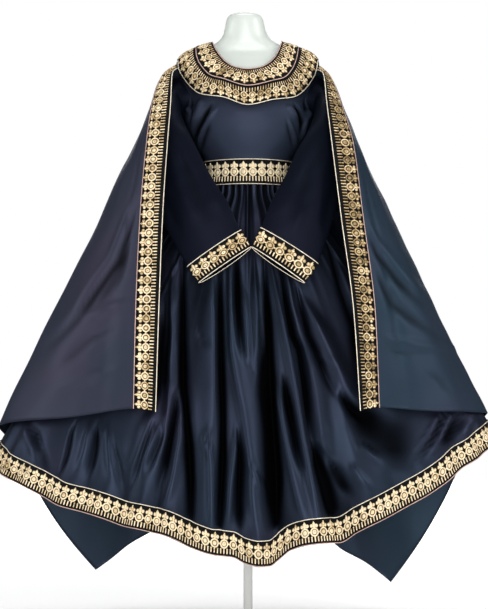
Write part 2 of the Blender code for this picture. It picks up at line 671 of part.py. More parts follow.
def build_skirt():
    shares = (0.0, 0.055, 0.10, 0.17, 0.28, 0.42, 0.57, 0.74)
    for side, folds, middle in (("front", FRONT_FOLDS, 0.0), ("back", BACK_FOLDS, math.pi)):
        degrees = [folds[0][0]]
        for before, after in zip(folds, folds[1:]):
            degrees += [(before[0] + after[0]) / 2, after[0]]
        turns = [middle + math.radians(d) for d in degrees]
        turns[0] += SKIRT_SEAM_TURN
        turns[-1] -= SKIRT_SEAM_TURN
        length = [np.linalg.norm(skirt_point(t, 1.0) - skirt_point(t, 0.0)) for t in turns]
        rows = list(shares) + [None, 1.0]
        base = np.zeros((len(rows), len(turns), 3))
        lift = np.zeros((len(rows), len(turns)))
        for c, turn in enumerate(turns):
            for r, share in enumerate(rows):
                share = 1 - HEM_BAND_HEIGHT / length[c] if share is None else share
                base[r, c] = skirt_point(turn, share)
                gather = GATHER_HEIGHT * (1 if c % 2 else -1)
                gather *= math.exp(-(share / GATHER_REACH) ** 1.5)
                lift[r, c] = gather + skirt_fold(folds, degrees[c], share)
        outward = -grid_normals(base, False)
        outward[:, (0, -1), 1] = 0.0
        grid = base + outward * lift[:, :, None]
        wall("skirt_" + side, grid, SATIN_WALL, SATIN, side_seams=True)
        lap = grid[-2:]
        out = -grid_normals(grid, False)[-2:]
        out[:, (0, -1), 1] = 0.0
        wall("hem_band_" + side, lap + out * BAND_LIFT, BAND_WALL, EMBROIDERY, side_seams=True)


def build_belt():
    columns = 56
    grid = np.zeros((len(BELT), columns, 3))
    for r, (height, width, depth) in enumerate(reversed(BELT)):
        for c in range(columns):
            turn = 2 * math.pi * c / columns
            drop = -0.004 * math.sin(turn) ** 2
            grid[r, c] = (width * math.sin(turn), -depth * math.cos(turn), height + drop)
    wall("belt", grid, BAND_WALL, EMBROIDERY, closed=True)


def sleeve_ring(row):
    """Centre, half width and half depth of a sleeve's lens-shaped ring."""
    inner, outer, depth = np.array(row[0:3]), np.array(row[3:6]), row[6]
    centre, half = (inner + outer) / 2, (outer - inner) / 2
    return centre, half, depth


def armhole_point(up, around, side):
    """Point of a sleeve's top ring, in the bodice's surface just inside the armhole's edge."""
    half_height = (SHOULDER_TIP_HEIGHT - UNDERARM_HEIGHT) / 2 - ARMHOLE_SEAM
    height = (SHOULDER_TIP_HEIGHT + UNDERARM_HEIGHT) / 2 + up * half_height
    reach = max(armhole_half_depth(height) - ARMHOLE_SEAM, 0.0)
    y = math.copysign(reach, side * around)
    width, depth = bodice_half(height, BODICE_LIFT)
    return (side * width * math.sqrt(1 - (y / depth) ** 2), y, height)


def build_sleeve(side_name, table):
    columns = 16
    rows = len(table)
    rings = [sleeve_ring(row) for row in table]
    centres = np.array([ring[0] for ring in rings])
    heading = np.gradient(centres, axis=0)
    heading /= np.linalg.norm(heading, axis=1, keepdims=True)
    heading[0] = (np.sign(centres[0][0]), 0.0, 0.0)
    heading[1] = heading[0] * 0.5 + heading[1] * 0.5
    grid = np.zeros((rows, columns, 3))
    for r, (centre, half, depth) in enumerate(rings):
        front = np.cross(half, heading[r])
        front /= np.linalg.norm(front)
        for c in range(columns):
            turn = -np.sign(centre[0]) * 2 * math.pi * c / columns
            thick = depth * math.sin(turn) * (0.35 + 0.65 * abs(math.sin(turn)))
            grid[r, c] = centre + half * math.cos(turn) + front * thick
            bow = ARMHOLE_BOW * max(0.0, 1 - r / 2) ** 2 * math.sin(turn) ** 2
            grid[r, c, 0] -= np.sign(centre[0]) * bow
            if r == 0:
                grid[r, c] = armhole_point(math.cos(turn), math.sin(turn), np.sign(centre[0]))
            if r == rows - 1:
                behind = max(0.0, -math.sin(2 * math.pi * c / columns))
                grid[r, c] += heading[r] * CUFF_TILT * behind
    wall("sleeve_" + side_name, grid, SATIN_WALL, SATIN, closed=True)
    normals = grid_normals(grid, True)
    length = np.linalg.norm(centres[-1] - centres[-2])
    share = CUFF_HEIGHT / length
    whole = int(share)
    last = [grid[-1] + normals[-1] * cuff_side(grid, normals) * BAND_LIFT]
    for r in range(2, 2 + whole):
        last.append(grid[-r] + normals[-r] * cuff_side(grid, normals) * BAND_LIFT)
    part = share - whole
    a, b = grid[-1 - whole], grid[-2 - whole]
    na, nb = normals[-1 - whole], normals[-2 - whole]
    sign = cuff_side(grid, normals)
    last.append(a + (b - a) * part + (na + (nb - na) * part) * sign * BAND_LIFT)
    wall("cuff_" + side_name, np.array(last), BAND_WALL, EMBROIDERY, closed=True)


def cuff_side(grid, normals):
    """1 when the normals of a tube look outward, else -1."""
    centre = grid[-1].mean(axis=0)
    return 1.0 if float(((grid[-1] - centre) * normals[-1]).sum()) > 0 else -1.0


def cape_top(around, side):
    """Where the cape is sewn on, just outside the collar's edge; side is -1 left and 1 right."""
    over_front = around < CAPE_RIDGE
    if over_front:
        place = CAPE_FRONT_PART * (1 - around / CAPE_RIDGE)
    else:
        place = 0.5 * (around - CAPE_RIDGE) / (1 - CAPE_RIDGE)
    edge = COLLAR_EDGE if over_front else COLLAR_BACK_EDGE
    x, height = along(edge, place if side < 0 else 1 - place)
    if around == 1.0:
        x += side * SEAM_GAP / 2
    return on_body(x, height, COLLAR_LIFT, -1 if over_front else 1)


def cape_point(lines, around, share, side):
    """Middle surface of a cape half: share of the way round and share of the way down."""
    table = []
    for name, place in CAPE_LINES:
        line = ((0.0, *cape_top(place, side)),) + lines[name]
        point = [table_value(line, c, share) for c in (1, 2, 3)]
        table.append((place, *point))
    if share == 0.0:
        return np.array(cape_top(around, side))
    rounded = np.array([table_value(table, c, around) for c in (1, 2, 3)])
    if around <= table[CAPE_CORNER][0]:
        part = table[:CAPE_CORNER + 1]
    else:
        part = table[CAPE_CORNER:]
    pointed = np.array([table_value(part, c, around) for c in (1, 2, 3)])
    corner = max(0.0, (share - CAPE_CORNER_START) / (1 - CAPE_CORNER_START)) ** 2
    return rounded + (pointed - rounded) * corner


def build_cape(side_name, lines, mirror):
    band_columns = (0.0, 0.05, 0.10)
    columns = list(band_columns) + [0.10 + 0.60 * i / 15 for i in range(1, 16)]
    columns += [0.70 + 0.30 * i / 7 for i in range(1, 8)]
    shares = (
        0.0, 0.008, 0.025, 0.05, 0.09, 0.14, 0.20, 0.28, 0.37, 0.47, 0.57, 0.68, 0.79, 0.90, 1.0,
    )
    grid = np.zeros((len(shares), len(columns), 3))
    for r, share in enumerate(shares):
        for c, around in enumerate(columns):
            grid[r, c] = cape_point(lines, around, share, -mirror)
    normals = grid_normals(grid, False)
    for r, share in enumerate(shares):
        grow = min(1.0, max(0.0, (share - CAPE_FOLD_START) / CAPE_FOLD_GROWTH)) ** 1.2
        for c, around in enumerate(columns):
            height = sum(h * math.exp(-((around - at) / w) ** 2) for at, h, w in CAPE_FOLDS)
            grid[r, c] += normals[r, c] * mirror * height * grow
    wall("cape_" + side_name, grid, SATIN_WALL, SATIN)
    band = grid[1:, :3] + normals[1:, :3] * mirror * BAND_LIFT
    wall("cape_band_" + side_name, band, BAND_WALL, EMBROIDERY)


for old in list(bpy.data.objects):
    bpy.data.objects.remove(old, do_unlink=True)
dress = bpy.data.collections.new("afghan_bridal_dress")
bpy.context.scene.collection.children.link(dress)

build_form()
build_bodice()
build_collar()
build_skirt()
build_belt()
build_sleeve("left", SLEEVE_LEFT)
build_sleeve("right", SLEEVE_RIGHT)
build_cape("left", CAPE_LEFT, 1.0)
build_cape("right", CAPE_RIGHT, -1.0)
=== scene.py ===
"""Afghan bridal dress with an open-front cape on a limbless dress form, dressed for close views.

Metres, +Z up. The dress faces -Y and +X is the right-hand side of a viewer in front of it.
Every cloth piece is a thin shell worked out from a grid of points on its middle surface, and
the embroidery is raised thread laid on strips of such grids.
"""
import math

import bpy
import numpy as np
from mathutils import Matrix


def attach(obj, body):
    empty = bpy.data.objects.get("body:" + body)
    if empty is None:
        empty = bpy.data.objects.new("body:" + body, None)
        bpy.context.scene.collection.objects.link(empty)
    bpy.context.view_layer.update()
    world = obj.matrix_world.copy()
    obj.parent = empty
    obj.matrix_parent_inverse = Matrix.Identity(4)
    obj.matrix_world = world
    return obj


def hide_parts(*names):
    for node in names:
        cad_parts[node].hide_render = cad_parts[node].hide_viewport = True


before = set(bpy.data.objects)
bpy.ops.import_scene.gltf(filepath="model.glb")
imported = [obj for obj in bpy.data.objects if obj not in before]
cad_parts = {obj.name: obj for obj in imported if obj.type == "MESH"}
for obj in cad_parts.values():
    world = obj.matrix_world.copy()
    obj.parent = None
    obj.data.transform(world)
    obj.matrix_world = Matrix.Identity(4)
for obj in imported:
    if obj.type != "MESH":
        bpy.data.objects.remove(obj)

bl_info = {
    "name": "Afghan bridal dress",
    "version": (1, 0, 0),
    "blender": (4, 5, 0),
    "location": "View3D > Sidebar > Dress",
    "description": "Builds the dress, its cape and its embroidery over the loaded frame",
    "category": "Add Mesh",
}

BODY = "root"

# the form and its stand
FORM_ROWS = 110
FORM_SIDES, POLE_SIDES, BASE_SIDES = 96, 64, 128
MAP_RADIUS = 0.1             # radius at which the finish's map on a turned solid is true
SEAM_GAP = 0.0003            # space left between the stand's pieces
BASE_RADIUS = 0.165
BASE_THICKNESS = 0.010
BASE_SOCKET = 0.012          # height of the socket that holds the pole, over the base
POLE_RADIUS = 0.0125
FLANGE_RADIUS = 0.050
# the pole's top: distance below the form's underside, radius
POLE_TOP = (
    (0.022, POLE_RADIUS), (0.017, 0.0155), (0.012, POLE_RADIUS + 0.010),
    (0.0065, FLANGE_RADIUS - 0.001), (0.0050, FLANGE_RADIUS), (0.0, FLANGE_RADIUS),
)
# the round base: height, radius
BASE = (
    (0.0, BASE_RADIUS - 0.002), (0.0008, BASE_RADIUS - 0.0006), (0.002, BASE_RADIUS),
    (BASE_THICKNESS - 0.003, BASE_RADIUS), (BASE_THICKNESS - 0.0012, BASE_RADIUS - 0.001),
    (BASE_THICKNESS, BASE_RADIUS - 0.003), (BASE_THICKNESS + 0.004, 0.030),
    (BASE_THICKNESS + 0.010, 0.022), (BASE_THICKNESS + BASE_SOCKET, 0.018),
)

# bodice
BODICE_COLUMNS, BODICE_ROWS = 121, 58
BODICE_LIFT = 0.0022         # middle of the satin outside the form
BODICE_TOP_RISE = 0.0031     # how much the top edge rises to the collar
TOP_RISE_UP, TOP_RISE_ACROSS = 6, 4    # powers that keep that rise near the top and the middle
BODICE_LAP = 0.012           # how far the bodice runs up under the collar
TOP_PASSES = 14              # rounds in which the top edge settles under the collar
SIDE_SEAM_TURN = 0.0054      # angle from the side to a panel's seam edge
WAIST_HEIGHT = 1.2425        # seam of bodice and skirt, behind the belt
WAIST_SEAM = 0.0014          # space between that height and the edge of either
UNDERARM_HEIGHT = 1.395
SHOULDER_TIP_HEIGHT = 1.510
ARMHOLE_HALF_DEPTH = 0.0325
BODICE_FREE = (1.285, 1.315)     # heights between which creases begin over the belt
BODICE_UNDER_COLLAR = 0.02       # distance below the collar where they have ended
ARMHOLE_HOLD = 0.07              # share of a panel's half width where they fade to its edge
COLLAR_SHADE = 0.026             # how far the collar's shade reaches down
COLLAR_SHADE_DEPTH = 0.6         # how dark this painted shade is at the collar, where 1 is the darkest painted shade
SHADE_POWER = 1.5                # how much of it lies close to the collar

# collar
COLLAR_COLUMNS, COLLAR_ROWS = 96, 9
COLLAR_LIFT = 0.0075         # middle of the collar's bands outside the form
RIDGE_STEP = 0.0002          # steps in height by which the shoulder ridge is looked for
COLLAR_SEAM = 0.015          # share of a ring's width left open at its seams
CORD_INSET = 0.045           # share of a ring's width from its edge to the cord on it
CORD_SIDES, PIPING_SIDES = 10, 8
ASIDE = (0.31, 0.17, 0.93)   # a direction that no cord follows

# skirt
SKIRT_ROWS = {"front": 96, "back": 62}
COLUMNS_PER_FOLD = 11
WAIST_HALF_WIDTH = 0.1180
SKIRT_SEAM_TURN = 0.0010     # angle from the side to a panel's seam edge
GATHERS = 42                 # round the whole waist
GATHER_HEIGHT = 0.0085       # from the middle surface to a crest
GATHER_DEPTH = 0.0030        # from the middle surface to a valley
GATHER_REACH = 0.19          # share of the way down where the gathers have run out
GATHER_FREE = (-0.018, 0.072)    # shares of the way down between which crests come free
GATHER_HOLLOW = (0.70 / 2.2, -0.30 / 2.2)    # painted shade in their valleys, from none to darkest, where -1 is a valley
# how gathers change round the waist: even part, then height, number and phase of each wave
GATHER_WANDER = (0.0, (0.8, 9, 1.0), (0.5, 23, 0.4))
GATHER_STRENGTH = (0.80, (0.35, 17, 2.0))
GATHER_LENGTH = (0.95, (0.45, 31, 0.6))
GATHER_RUN_OUT = 1.5         # how suddenly they run out
SKIRT_ROW_SPREAD = 1.15      # rows lie this power closer at the waist
FOLD_GROWTH = 6.0            # how suddenly the folds grow towards the hem, in the middle
SIDE_FOLD_GROWTH = 9.0       # and at the sides
SIDE_FOLD_ANGLE = 24.0       # degrees from the middle to where the sides begin
SIDE_FOLD_EASE = 0.45        # share by which folds are lower at the sides
SKIRT_HELD = 0.2             # share of the way down where creases have their full height

# bands, cuffs and their piping
BAND_ROWS = 9
# where the hem band's piping and its lower cord lie, as shares of the way down the band
HEM_PIPING_AT, HEM_CORD_AT = 0.01, 0.985
PIPING_OUT = 0.0004          # middle of the piping outside the band's face
PIPING_STEP, HEM_PIPING_STEP, CUFF_PIPING_STEP = 0.006, 0.005, 0.004
HEM_BAND_HEIGHT = 0.069
CUFF_HEIGHT = 0.061
CUFF_TILT = 0.004            # how much lower the back of a sleeve's mouth hangs than its front
BELT_COLUMNS = 180
BELT_DROP = 0.004            # how much lower the belt lies at the sides

# sleeves
SLEEVE_COLUMNS, SLEEVE_STEPS = 96, 9
ARMHOLE_SEAM = 0.0007        # space between an armhole's edge and the middle of the sleeve's satin
ARMHOLE_BOW = 0.018          # how far a sleeve's second ring follows the body's round side
EDGE_FULLNESS = 0.35         # share of a sleeve's depth that it keeps near its two edges
# rise of the creases from the armhole and their fall to the mouth, held between 0 and 1
SLEEVE_RISE = (-0.2, 6.0)
SLEEVE_FALL = (6.0, -0.6)

# creases: share of their length where they rise and where they widen, width of their tip
CREASE_RISE = 0.25
CREASE_WIDENING = 0.4
CREASE_TIP = 0.35
# share of the height kept at the end, and share of the length where it falls to that
CREASE_END = (0.1, 0.30)
HEM_CREASE_END = (0.5, 0.12)
CREASE_TO_HEM = 0.33         # creases that end below this height run on into the hem
# creases paint shade on the cloth they press in, which is darkest at these depths
SOFT_HOLLOW = 0.0110
BODICE_HOLLOW = 0.0068
# the skirt's painted shade starts at a height that changes a little, and is darkest this much lower
HOLLOW_START = 0.0060
HOLLOW_CHANGE = 0.0050
HOLLOW_DEPTH = 0.0240
# the waves of that change: radians per metre of x and of height, and phase
HOLLOW_WAVES = ((31.0, 13.0, 0.4), (-23.0, 17.0, 1.9))
FOLD_HOLLOW = 0.014          # depth of a fold at the hem whose painted shade is as dark as the darkest
HOLLOW_SHADE = 0.035         # colour of the darkest painted shade, as a share of the satin's
HOLLOW_DULLNESS = 0.25       # how much rougher it is there
# unevenness of hung cloth: height, number of waves
BODICE_UNEVEN = (0.0006, 28.0)
SKIRT_UNEVEN = (0.0010, 7.0)
SLEEVE_UNEVEN = (0.0009, 20.0)
CAPE_UNEVEN = (0.0022, 11.0)

# height, half width and half depth of the dress form
FORM = (
    (0.985, 0.12, 0.084), (1.0, 0.138, 0.097), (1.06, 0.145, 0.103), (1.14, 0.129, 0.094),
    (1.2, 0.116, 0.0885), (1.24, 0.113, 0.087), (1.28, 0.118, 0.0915), (1.32, 0.128, 0.0995),
    (1.36, 0.141, 0.108), (1.4, 0.152, 0.11), (1.45, 0.164, 0.101), (1.5, 0.18, 0.085),
    (1.53, 0.19, 0.071), (1.548, 0.189, 0.06), (1.562, 0.179, 0.053), (1.572, 0.165, 0.0485),
    (1.58, 0.147, 0.047), (1.587, 0.132, 0.0475), (1.593, 0.111, 0.049), (1.599, 0.092, 0.051),
    (1.608, 0.078, 0.052), (1.622, 0.064, 0.052), (1.642, 0.057, 0.051), (1.66, 0.0532, 0.049),
    (1.67, 0.0505, 0.047), (1.676, 0.0478, 0.0445), (1.68, 0.044, 0.041),
)
# its rounded cap
FORM_CAP = (
    (1.6822, 0.0395, 0.037), (1.6842, 0.033, 0.031), (1.6862, 0.024, 0.0225),
    (1.6878, 0.013, 0.012), (1.6884, 0.003, 0.003),
)
# how far the neck leans to the left, at heights, and the same of a solid that doesn't lean
NECK_LEAN = ((1.572, 0.0), (1.59, -0.003), (1.608, -0.006), (1.64, -0.0085), (1.69, -0.009))
UPRIGHT = ((0.0, 0.0), (2.0, 0.0))
# height, and how much wider and deeper than the form the loose bodice is, on each side
BODICE_EASE = (
    (1.285, 0.0, 0.0), (1.33, 0.017, 0.004), (1.385, 0.023, 0.0042), (1.412, 0.017, 0.0022),
    (1.435, 0.005, 0.0004), (1.445, 0.0018, 0.0),
)
# collar outlines from one shoulder ridge over the front to the other: x and height
COLLAR_NECK = (
    (-0.097, 1.606), (-0.09, 1.59), (-0.079, 1.571), (-0.056, 1.544), (-0.03, 1.53), (0.0, 1.526),
    (0.03, 1.53), (0.056, 1.544), (0.077, 1.569), (0.086, 1.59), (0.092, 1.607),
)
COLLAR_MIDDLE = (
    (-0.144, 1.594), (-0.143, 1.572), (-0.137, 1.55), (-0.103, 1.508), (-0.068, 1.497),
    (0.0, 1.477), (0.068, 1.492), (0.099, 1.501), (0.125, 1.533), (0.135, 1.564), (0.14, 1.592),
)
COLLAR_EDGE = (
    (-0.1965, 1.552), (-0.1935, 1.53), (-0.18, 1.503), (-0.132, 1.455), (-0.068, 1.443),
    (0.0, 1.421), (0.068, 1.436), (0.128, 1.446), (0.172, 1.487), (0.191, 1.524), (0.1955, 1.552),
)
# the same three outlines over the back
COLLAR_BACK_NECK = (
    (-0.097, 1.606), (-0.09, 1.594), (-0.076, 1.58), (0.0, 1.566), (0.072, 1.58), (0.086, 1.594),
    (0.092, 1.607),
)
COLLAR_BACK_MIDDLE = (
    (-0.144, 1.594), (-0.14, 1.57), (-0.115, 1.536), (0.0, 1.508), (0.113, 1.536), (0.136, 1.57),
    (0.14, 1.592),
)
COLLAR_BACK_EDGE = (
    (-0.1965, 1.552), (-0.19, 1.524), (-0.155, 1.478), (0.0, 1.446), (0.153, 1.478), (0.189, 1.524),
    (0.1955, 1.552),
)
# skirt's hem over the front and over the back: x and height
HEM_FRONT = (
    (-0.712, 0.448), (-0.69, 0.432), (-0.677, 0.419), (-0.612, 0.391), (-0.549, 0.362),
    (-0.502, 0.339), (-0.45, 0.328), (-0.39, 0.311), (-0.33, 0.291), (-0.271, 0.279),
    (-0.231, 0.271), (-0.194, 0.256), (-0.154, 0.238), (-0.09, 0.217), (-0.04, 0.212),
    (-0.006, 0.194), (0.026, 0.186), (0.055, 0.188), (0.083, 0.209), (0.113, 0.23), (0.161, 0.243),
    (0.22, 0.248), (0.244, 0.249), (0.294, 0.276), (0.373, 0.314), (0.438, 0.347), (0.493, 0.376),
    (0.535, 0.403), (0.574, 0.436), (0.617, 0.459), (0.653, 0.484), (0.69, 0.506),
)
HEM_BACK = (
    (-0.712, 0.448), (-0.61, 0.4), (-0.48, 0.345), (-0.33, 0.3), (-0.16, 0.265), (0.0, 0.254),
    (0.16, 0.267), (0.33, 0.306), (0.48, 0.362), (0.6, 0.44), (0.69, 0.506),
)
# share of the way from waist to hem, share of the way out, front half depth, back half depth
SKIRT_PROFILE = (
    (0.0, 0.0, 0.0915, 0.0905), (0.055, 0.006, 0.0945, 0.0935), (0.12, 0.1, 0.114, 0.109),
    (0.3, 0.295, 0.15, 0.142), (0.55, 0.56, 0.198, 0.186), (0.8, 0.845, 0.242, 0.225),
    (0.9, 0.93, 0.256, 0.238), (1.0, 1.0, 0.27, 0.25),
)
# skirt folds at the hem: degrees from the panel's centre and how far the cloth stands out or in
FRONT_FOLDS = (
    (-90.0, 0.0), (-84.5, -0.007), (-79.0, 0.007), (-74.0, -0.008), (-69.0, 0.009), (-63.5, -0.009),
    (-58.0, 0.011), (-51.0, -0.011), (-44.5, 0.013), (-39.0, -0.011), (-33.7, 0.013),
    (-29.0, -0.014), (-24.5, 0.016), (-20.5, -0.014), (-17.0, 0.011), (-13.5, -0.016),
    (-8.5, 0.008), (-3.8, -0.004), (1.8, 0.036), (8.2, -0.016), (14.5, 0.016), (22.3, -0.02),
    (29.0, 0.012), (36.0, -0.01), (42.0, 0.008), (47.0, -0.008), (52.5, 0.009), (57.5, -0.008),
    (63.0, 0.008), (68.0, -0.007), (73.0, 0.007), (78.0, -0.006), (83.5, 0.006), (90.0, 0.0),
)
BACK_FOLDS = (
    (-90.0, 0.0), (-84.0, 0.008), (-78.0, -0.009), (-71.0, 0.011), (-64.5, -0.012), (-57.0, 0.014),
    (-50.0, -0.014), (-42.0, 0.016), (-35.5, -0.014), (-28.0, 0.017), (-21.0, -0.016),
    (-14.0, 0.015), (-7.0, -0.017), (0.5, 0.019), (8.0, -0.016), (15.0, 0.016), (22.5, -0.015),
    (29.0, 0.015), (37.0, -0.014), (43.5, 0.014), (51.0, -0.012), (58.5, 0.012), (65.0, -0.011),
    (72.0, 0.01), (79.0, -0.008), (84.5, 0.007), (90.0, 0.0),
)
# height, half width and half depth of the belt's middle surface
BELT = (
    (1.2095, 0.1262, 0.0996), (1.243, 0.1226, 0.096), (1.277, 0.123, 0.096),
)
# sleeve rings: inner edge x, y, z, outer edge x, y, z, half depth
SLEEVE_LEFT = (
    (-0.188, 0.0, 1.392, -0.199, 0.0, 1.508, 0.033),
    (-0.189, -0.018, 1.388, -0.222, -0.004, 1.496, 0.033),
    (-0.181, -0.058, 1.388, -0.248, -0.028, 1.452, 0.034),
    (-0.164, -0.11, 1.353, -0.259, -0.06, 1.364, 0.031),
    (-0.125, -0.14, 1.274, -0.264, -0.094, 1.269, 0.027),
    (-0.092, -0.16, 1.211, -0.258, -0.128, 1.177, 0.024),
    (-0.054, -0.178, 1.152, -0.226, -0.162, 1.097, 0.021),
    (-0.024, -0.19, 1.085, -0.166, -0.19, 0.99, 0.017),
    (0.006, -0.2, 1.033, -0.13, -0.2, 0.94, 0.014),
)
SLEEVE_RIGHT = (
    (0.188, 0.0, 1.392, 0.198, 0.0, 1.508, 0.033),
    (0.189, -0.018, 1.388, 0.222, -0.004, 1.496, 0.033),
    (0.18, -0.058, 1.388, 0.248, -0.028, 1.452, 0.034),
    (0.164, -0.11, 1.353, 0.259, -0.06, 1.364, 0.031),
    (0.126, -0.14, 1.284, 0.262, -0.094, 1.269, 0.027),
    (0.094, -0.16, 1.215, 0.252, -0.128, 1.177, 0.024),
    (0.061, -0.178, 1.152, 0.226, -0.16, 1.1, 0.021),
    (0.035, -0.19, 1.085, 0.185, -0.19, 0.991, 0.017),
    (0.012, -0.2, 1.033, 0.149, -0.2, 0.94, 0.014),
)

# the cape is drawn by lines from the collar to its hem: shares of the way round at which they
# lie, and shares of the way down at which their points lie
CAPE_AROUND = (0.0, 0.1, 0.26, 0.42, 0.56, 0.7, 0.85, 1.0)
CAPE_DOWN = (0.05, 0.14, 0.25, 0.45, 0.72, 1.0)
# how far back each point lies, the same for both halves
CAPE_DEPTHS = (
    (-0.056, -0.118, -0.16, -0.212, -0.24, -0.256),
    (-0.033, -0.09, -0.136, -0.188, -0.228, -0.246),
    (-0.012, -0.05, -0.09, -0.14, -0.175, -0.185),
    (0.016, 0.014, 0.011, 0.008, 0.004, 0.0),
    (0.078, 0.1, 0.128, 0.165, 0.19, 0.195),
    (0.106, 0.126, 0.162, 0.213, 0.26, 0.262),
    (0.129, 0.15, 0.184, 0.238, 0.285, 0.3),
    (0.133, 0.154, 0.188, 0.242, 0.29, 0.306),
)
# x and height of each point
CAPE_LEFT = (
    ((-0.206, 1.513), (-0.209, 1.427), (-0.216, 1.32), (-0.227, 1.125), (-0.237, 0.863),
     (-0.245, 0.595)),
    ((-0.233, 1.511), (-0.26, 1.422), (-0.273, 1.318), (-0.288, 1.123), (-0.299, 0.862),
     (-0.304, 0.603)),
    ((-0.24, 1.507), (-0.268, 1.42), (-0.3, 1.312), (-0.348, 1.118), (-0.422, 0.845),
     (-0.475, 0.577)),
    ((-0.246, 1.499), (-0.272, 1.415), (-0.32, 1.311), (-0.404, 1.129), (-0.548, 0.846),
     (-0.692, 0.541)),
    ((-0.222, 1.48), (-0.242, 1.395), (-0.285, 1.288), (-0.365, 1.08), (-0.5, 0.76),
     (-0.635, 0.43)),
    ((-0.18, 1.43), (-0.186, 1.325), (-0.21, 1.19), (-0.26, 0.93), (-0.345, 0.538),
     (-0.44, 0.113)),
    ((-0.111, 1.4), (-0.114, 1.295), (-0.124, 1.165), (-0.145, 0.925), (-0.185, 0.6),
     (-0.23, 0.256)),
    ((-0.0005, 1.386), (-0.0005, 1.285), (-0.0005, 1.16), (-0.0005, 0.935), (-0.0005, 0.63),
     (-0.0005, 0.31)),
)
CAPE_RIGHT = (
    ((0.204, 1.513), (0.212, 1.427), (0.224, 1.32), (0.246, 1.125), (0.28, 0.863), (0.297, 0.598)),
    ((0.223, 1.509), (0.254, 1.42), (0.282, 1.318), (0.306, 1.122), (0.338, 0.855),
     (0.348, 0.606)),
    ((0.23, 1.507), (0.262, 1.418), (0.301, 1.312), (0.356, 1.116), (0.434, 0.845),
     (0.496, 0.593)),
    ((0.233, 1.501), (0.267, 1.42), (0.312, 1.308), (0.394, 1.128), (0.53, 0.85), (0.662, 0.578)),
    ((0.22, 1.48), (0.24, 1.395), (0.28, 1.288), (0.356, 1.08), (0.486, 0.77), (0.612, 0.455)),
    ((0.178, 1.43), (0.184, 1.325), (0.206, 1.19), (0.248, 0.925), (0.324, 0.52), (0.413, 0.077)),
    ((0.109, 1.4), (0.112, 1.295), (0.122, 1.165), (0.143, 0.925), (0.182, 0.6), (0.225, 0.24)),
    ((0.0005, 1.386), (0.0005, 1.285), (0.0005, 1.16), (0.0005, 0.935), (0.0005, 0.63),
     (0.0005, 0.31)),
)
CAPE_COLUMNS, CAPE_ROWS = 120, 116
CAPE_BAND_PART = 0.10        # share of the way round that the band covers
CAPE_RIDGE = 0.20            # share of the way round where the cape crosses the shoulder ridge
CAPE_FRONT_PART = 0.090      # share of the collar's front edge from the ridge to the cape's edge
CAPE_SEAM = 0.00015          # from the centre back to the edge of either half
CAPE_CORNER = 5              # the line that ends in the back corner
CAPE_CORNER_START = 0.55     # share of the way down where the corner begins to show
# how far the hem bows out on either side of the back corner, sideways and up, for the left half
# and the right one
CAPE_TAIL_BOWS = {-1: ((-0.019, -0.008), (0.002, -0.009)), 1: ((0.018, -0.009), (-0.014, -0.030))}
CAPE_FOLD_START = 0.05       # share of the way down where the folds begin
CAPE_FOLD_GROWTH = 0.6       # share of the way over which they grow
CAPE_TOP_SHARES = (0.0, 0.004, 0.010, 0.018, 0.028, 0.040)     # rows close to the collar
CAPE_FREE_AROUND = 0.06      # share of the way round from the band to cloth that is free
CAPE_FREE_DOWN = (0.04, 0.16)    # shares of the way down between which it comes free
CAPE_CREASED = (0.52, 0.40)      # shares of the way round between which the creases begin
CAPE_CENTRE = 0.95           # share of the way round where the centre back seam holds the cloth
CAPE_BOW_POWERS = (1.0, 2.0)     # how close to the corner each bow lies
# soft cape folds: share of the way round, height, width as a share of the way round
CAPE_FOLDS = (
    (0.2, -0.006, 0.03), (0.31, 0.007, 0.035), (0.5, -0.008, 0.03), (0.6, 0.012, 0.03),
    (0.66, -0.012, 0.025), (0.77, 0.014, 0.03), (0.83, -0.012, 0.025), (0.9, 0.015, 0.028),
    (0.96, -0.008, 0.022),
)

# creases: how far out, half width to their left and right, then the x and height of their
# points as seen from the front or the back
BODICE_CREASES = (
    (0.0088, 0.009, 0.009, ((-0.161, 1.355), (-0.136, 1.414), (-0.115, 1.464))),
    (-0.0081, 0.007, 0.008, ((-0.155, 1.32), (-0.136, 1.364), (-0.113, 1.405), (-0.096, 1.437))),
    (0.0081, 0.004, 0.006, ((-0.142, 1.309), (-0.124, 1.355), (-0.097, 1.401), (-0.082, 1.421))),
    (-0.0054, 0.005, 0.006, ((-0.134, 1.293), (-0.117, 1.346), (-0.102, 1.387))),
    (-0.0068, 0.004, 0.005, ((-0.161, 1.437), (-0.156, 1.404), (-0.158, 1.366))),
    (0.0081, 0.006, 0.007, ((-0.194, 1.47), (-0.176, 1.432), (-0.158, 1.404))),
    (-0.0047, 0.006, 0.006, ((-0.169, 1.459), (-0.151, 1.419))),
    (0.0081, 0.007, 0.007, ((0.106, 1.429), (0.12, 1.41), (0.136, 1.385))),
    (-0.0081, 0.007, 0.008, ((0.122, 1.437), (0.141, 1.404), (0.15, 1.374), (0.146, 1.339))),
    (0.0081, 0.004, 0.005, ((0.106, 1.393), (0.123, 1.351), (0.136, 1.312))),
    (-0.0041, 0.005, 0.006, ((0.103, 1.388), (0.114, 1.346), (0.125, 1.306))),
    (0.0081, 0.004, 0.005, ((0.162, 1.391), (0.155, 1.361), (0.147, 1.334))),
    (0.0081, 0.005, 0.006, ((0.177, 1.453), (0.173, 1.414), (0.159, 1.38))),
    (-0.0061, 0.007, 0.008, ((0.161, 1.459), (0.16, 1.404))),
)
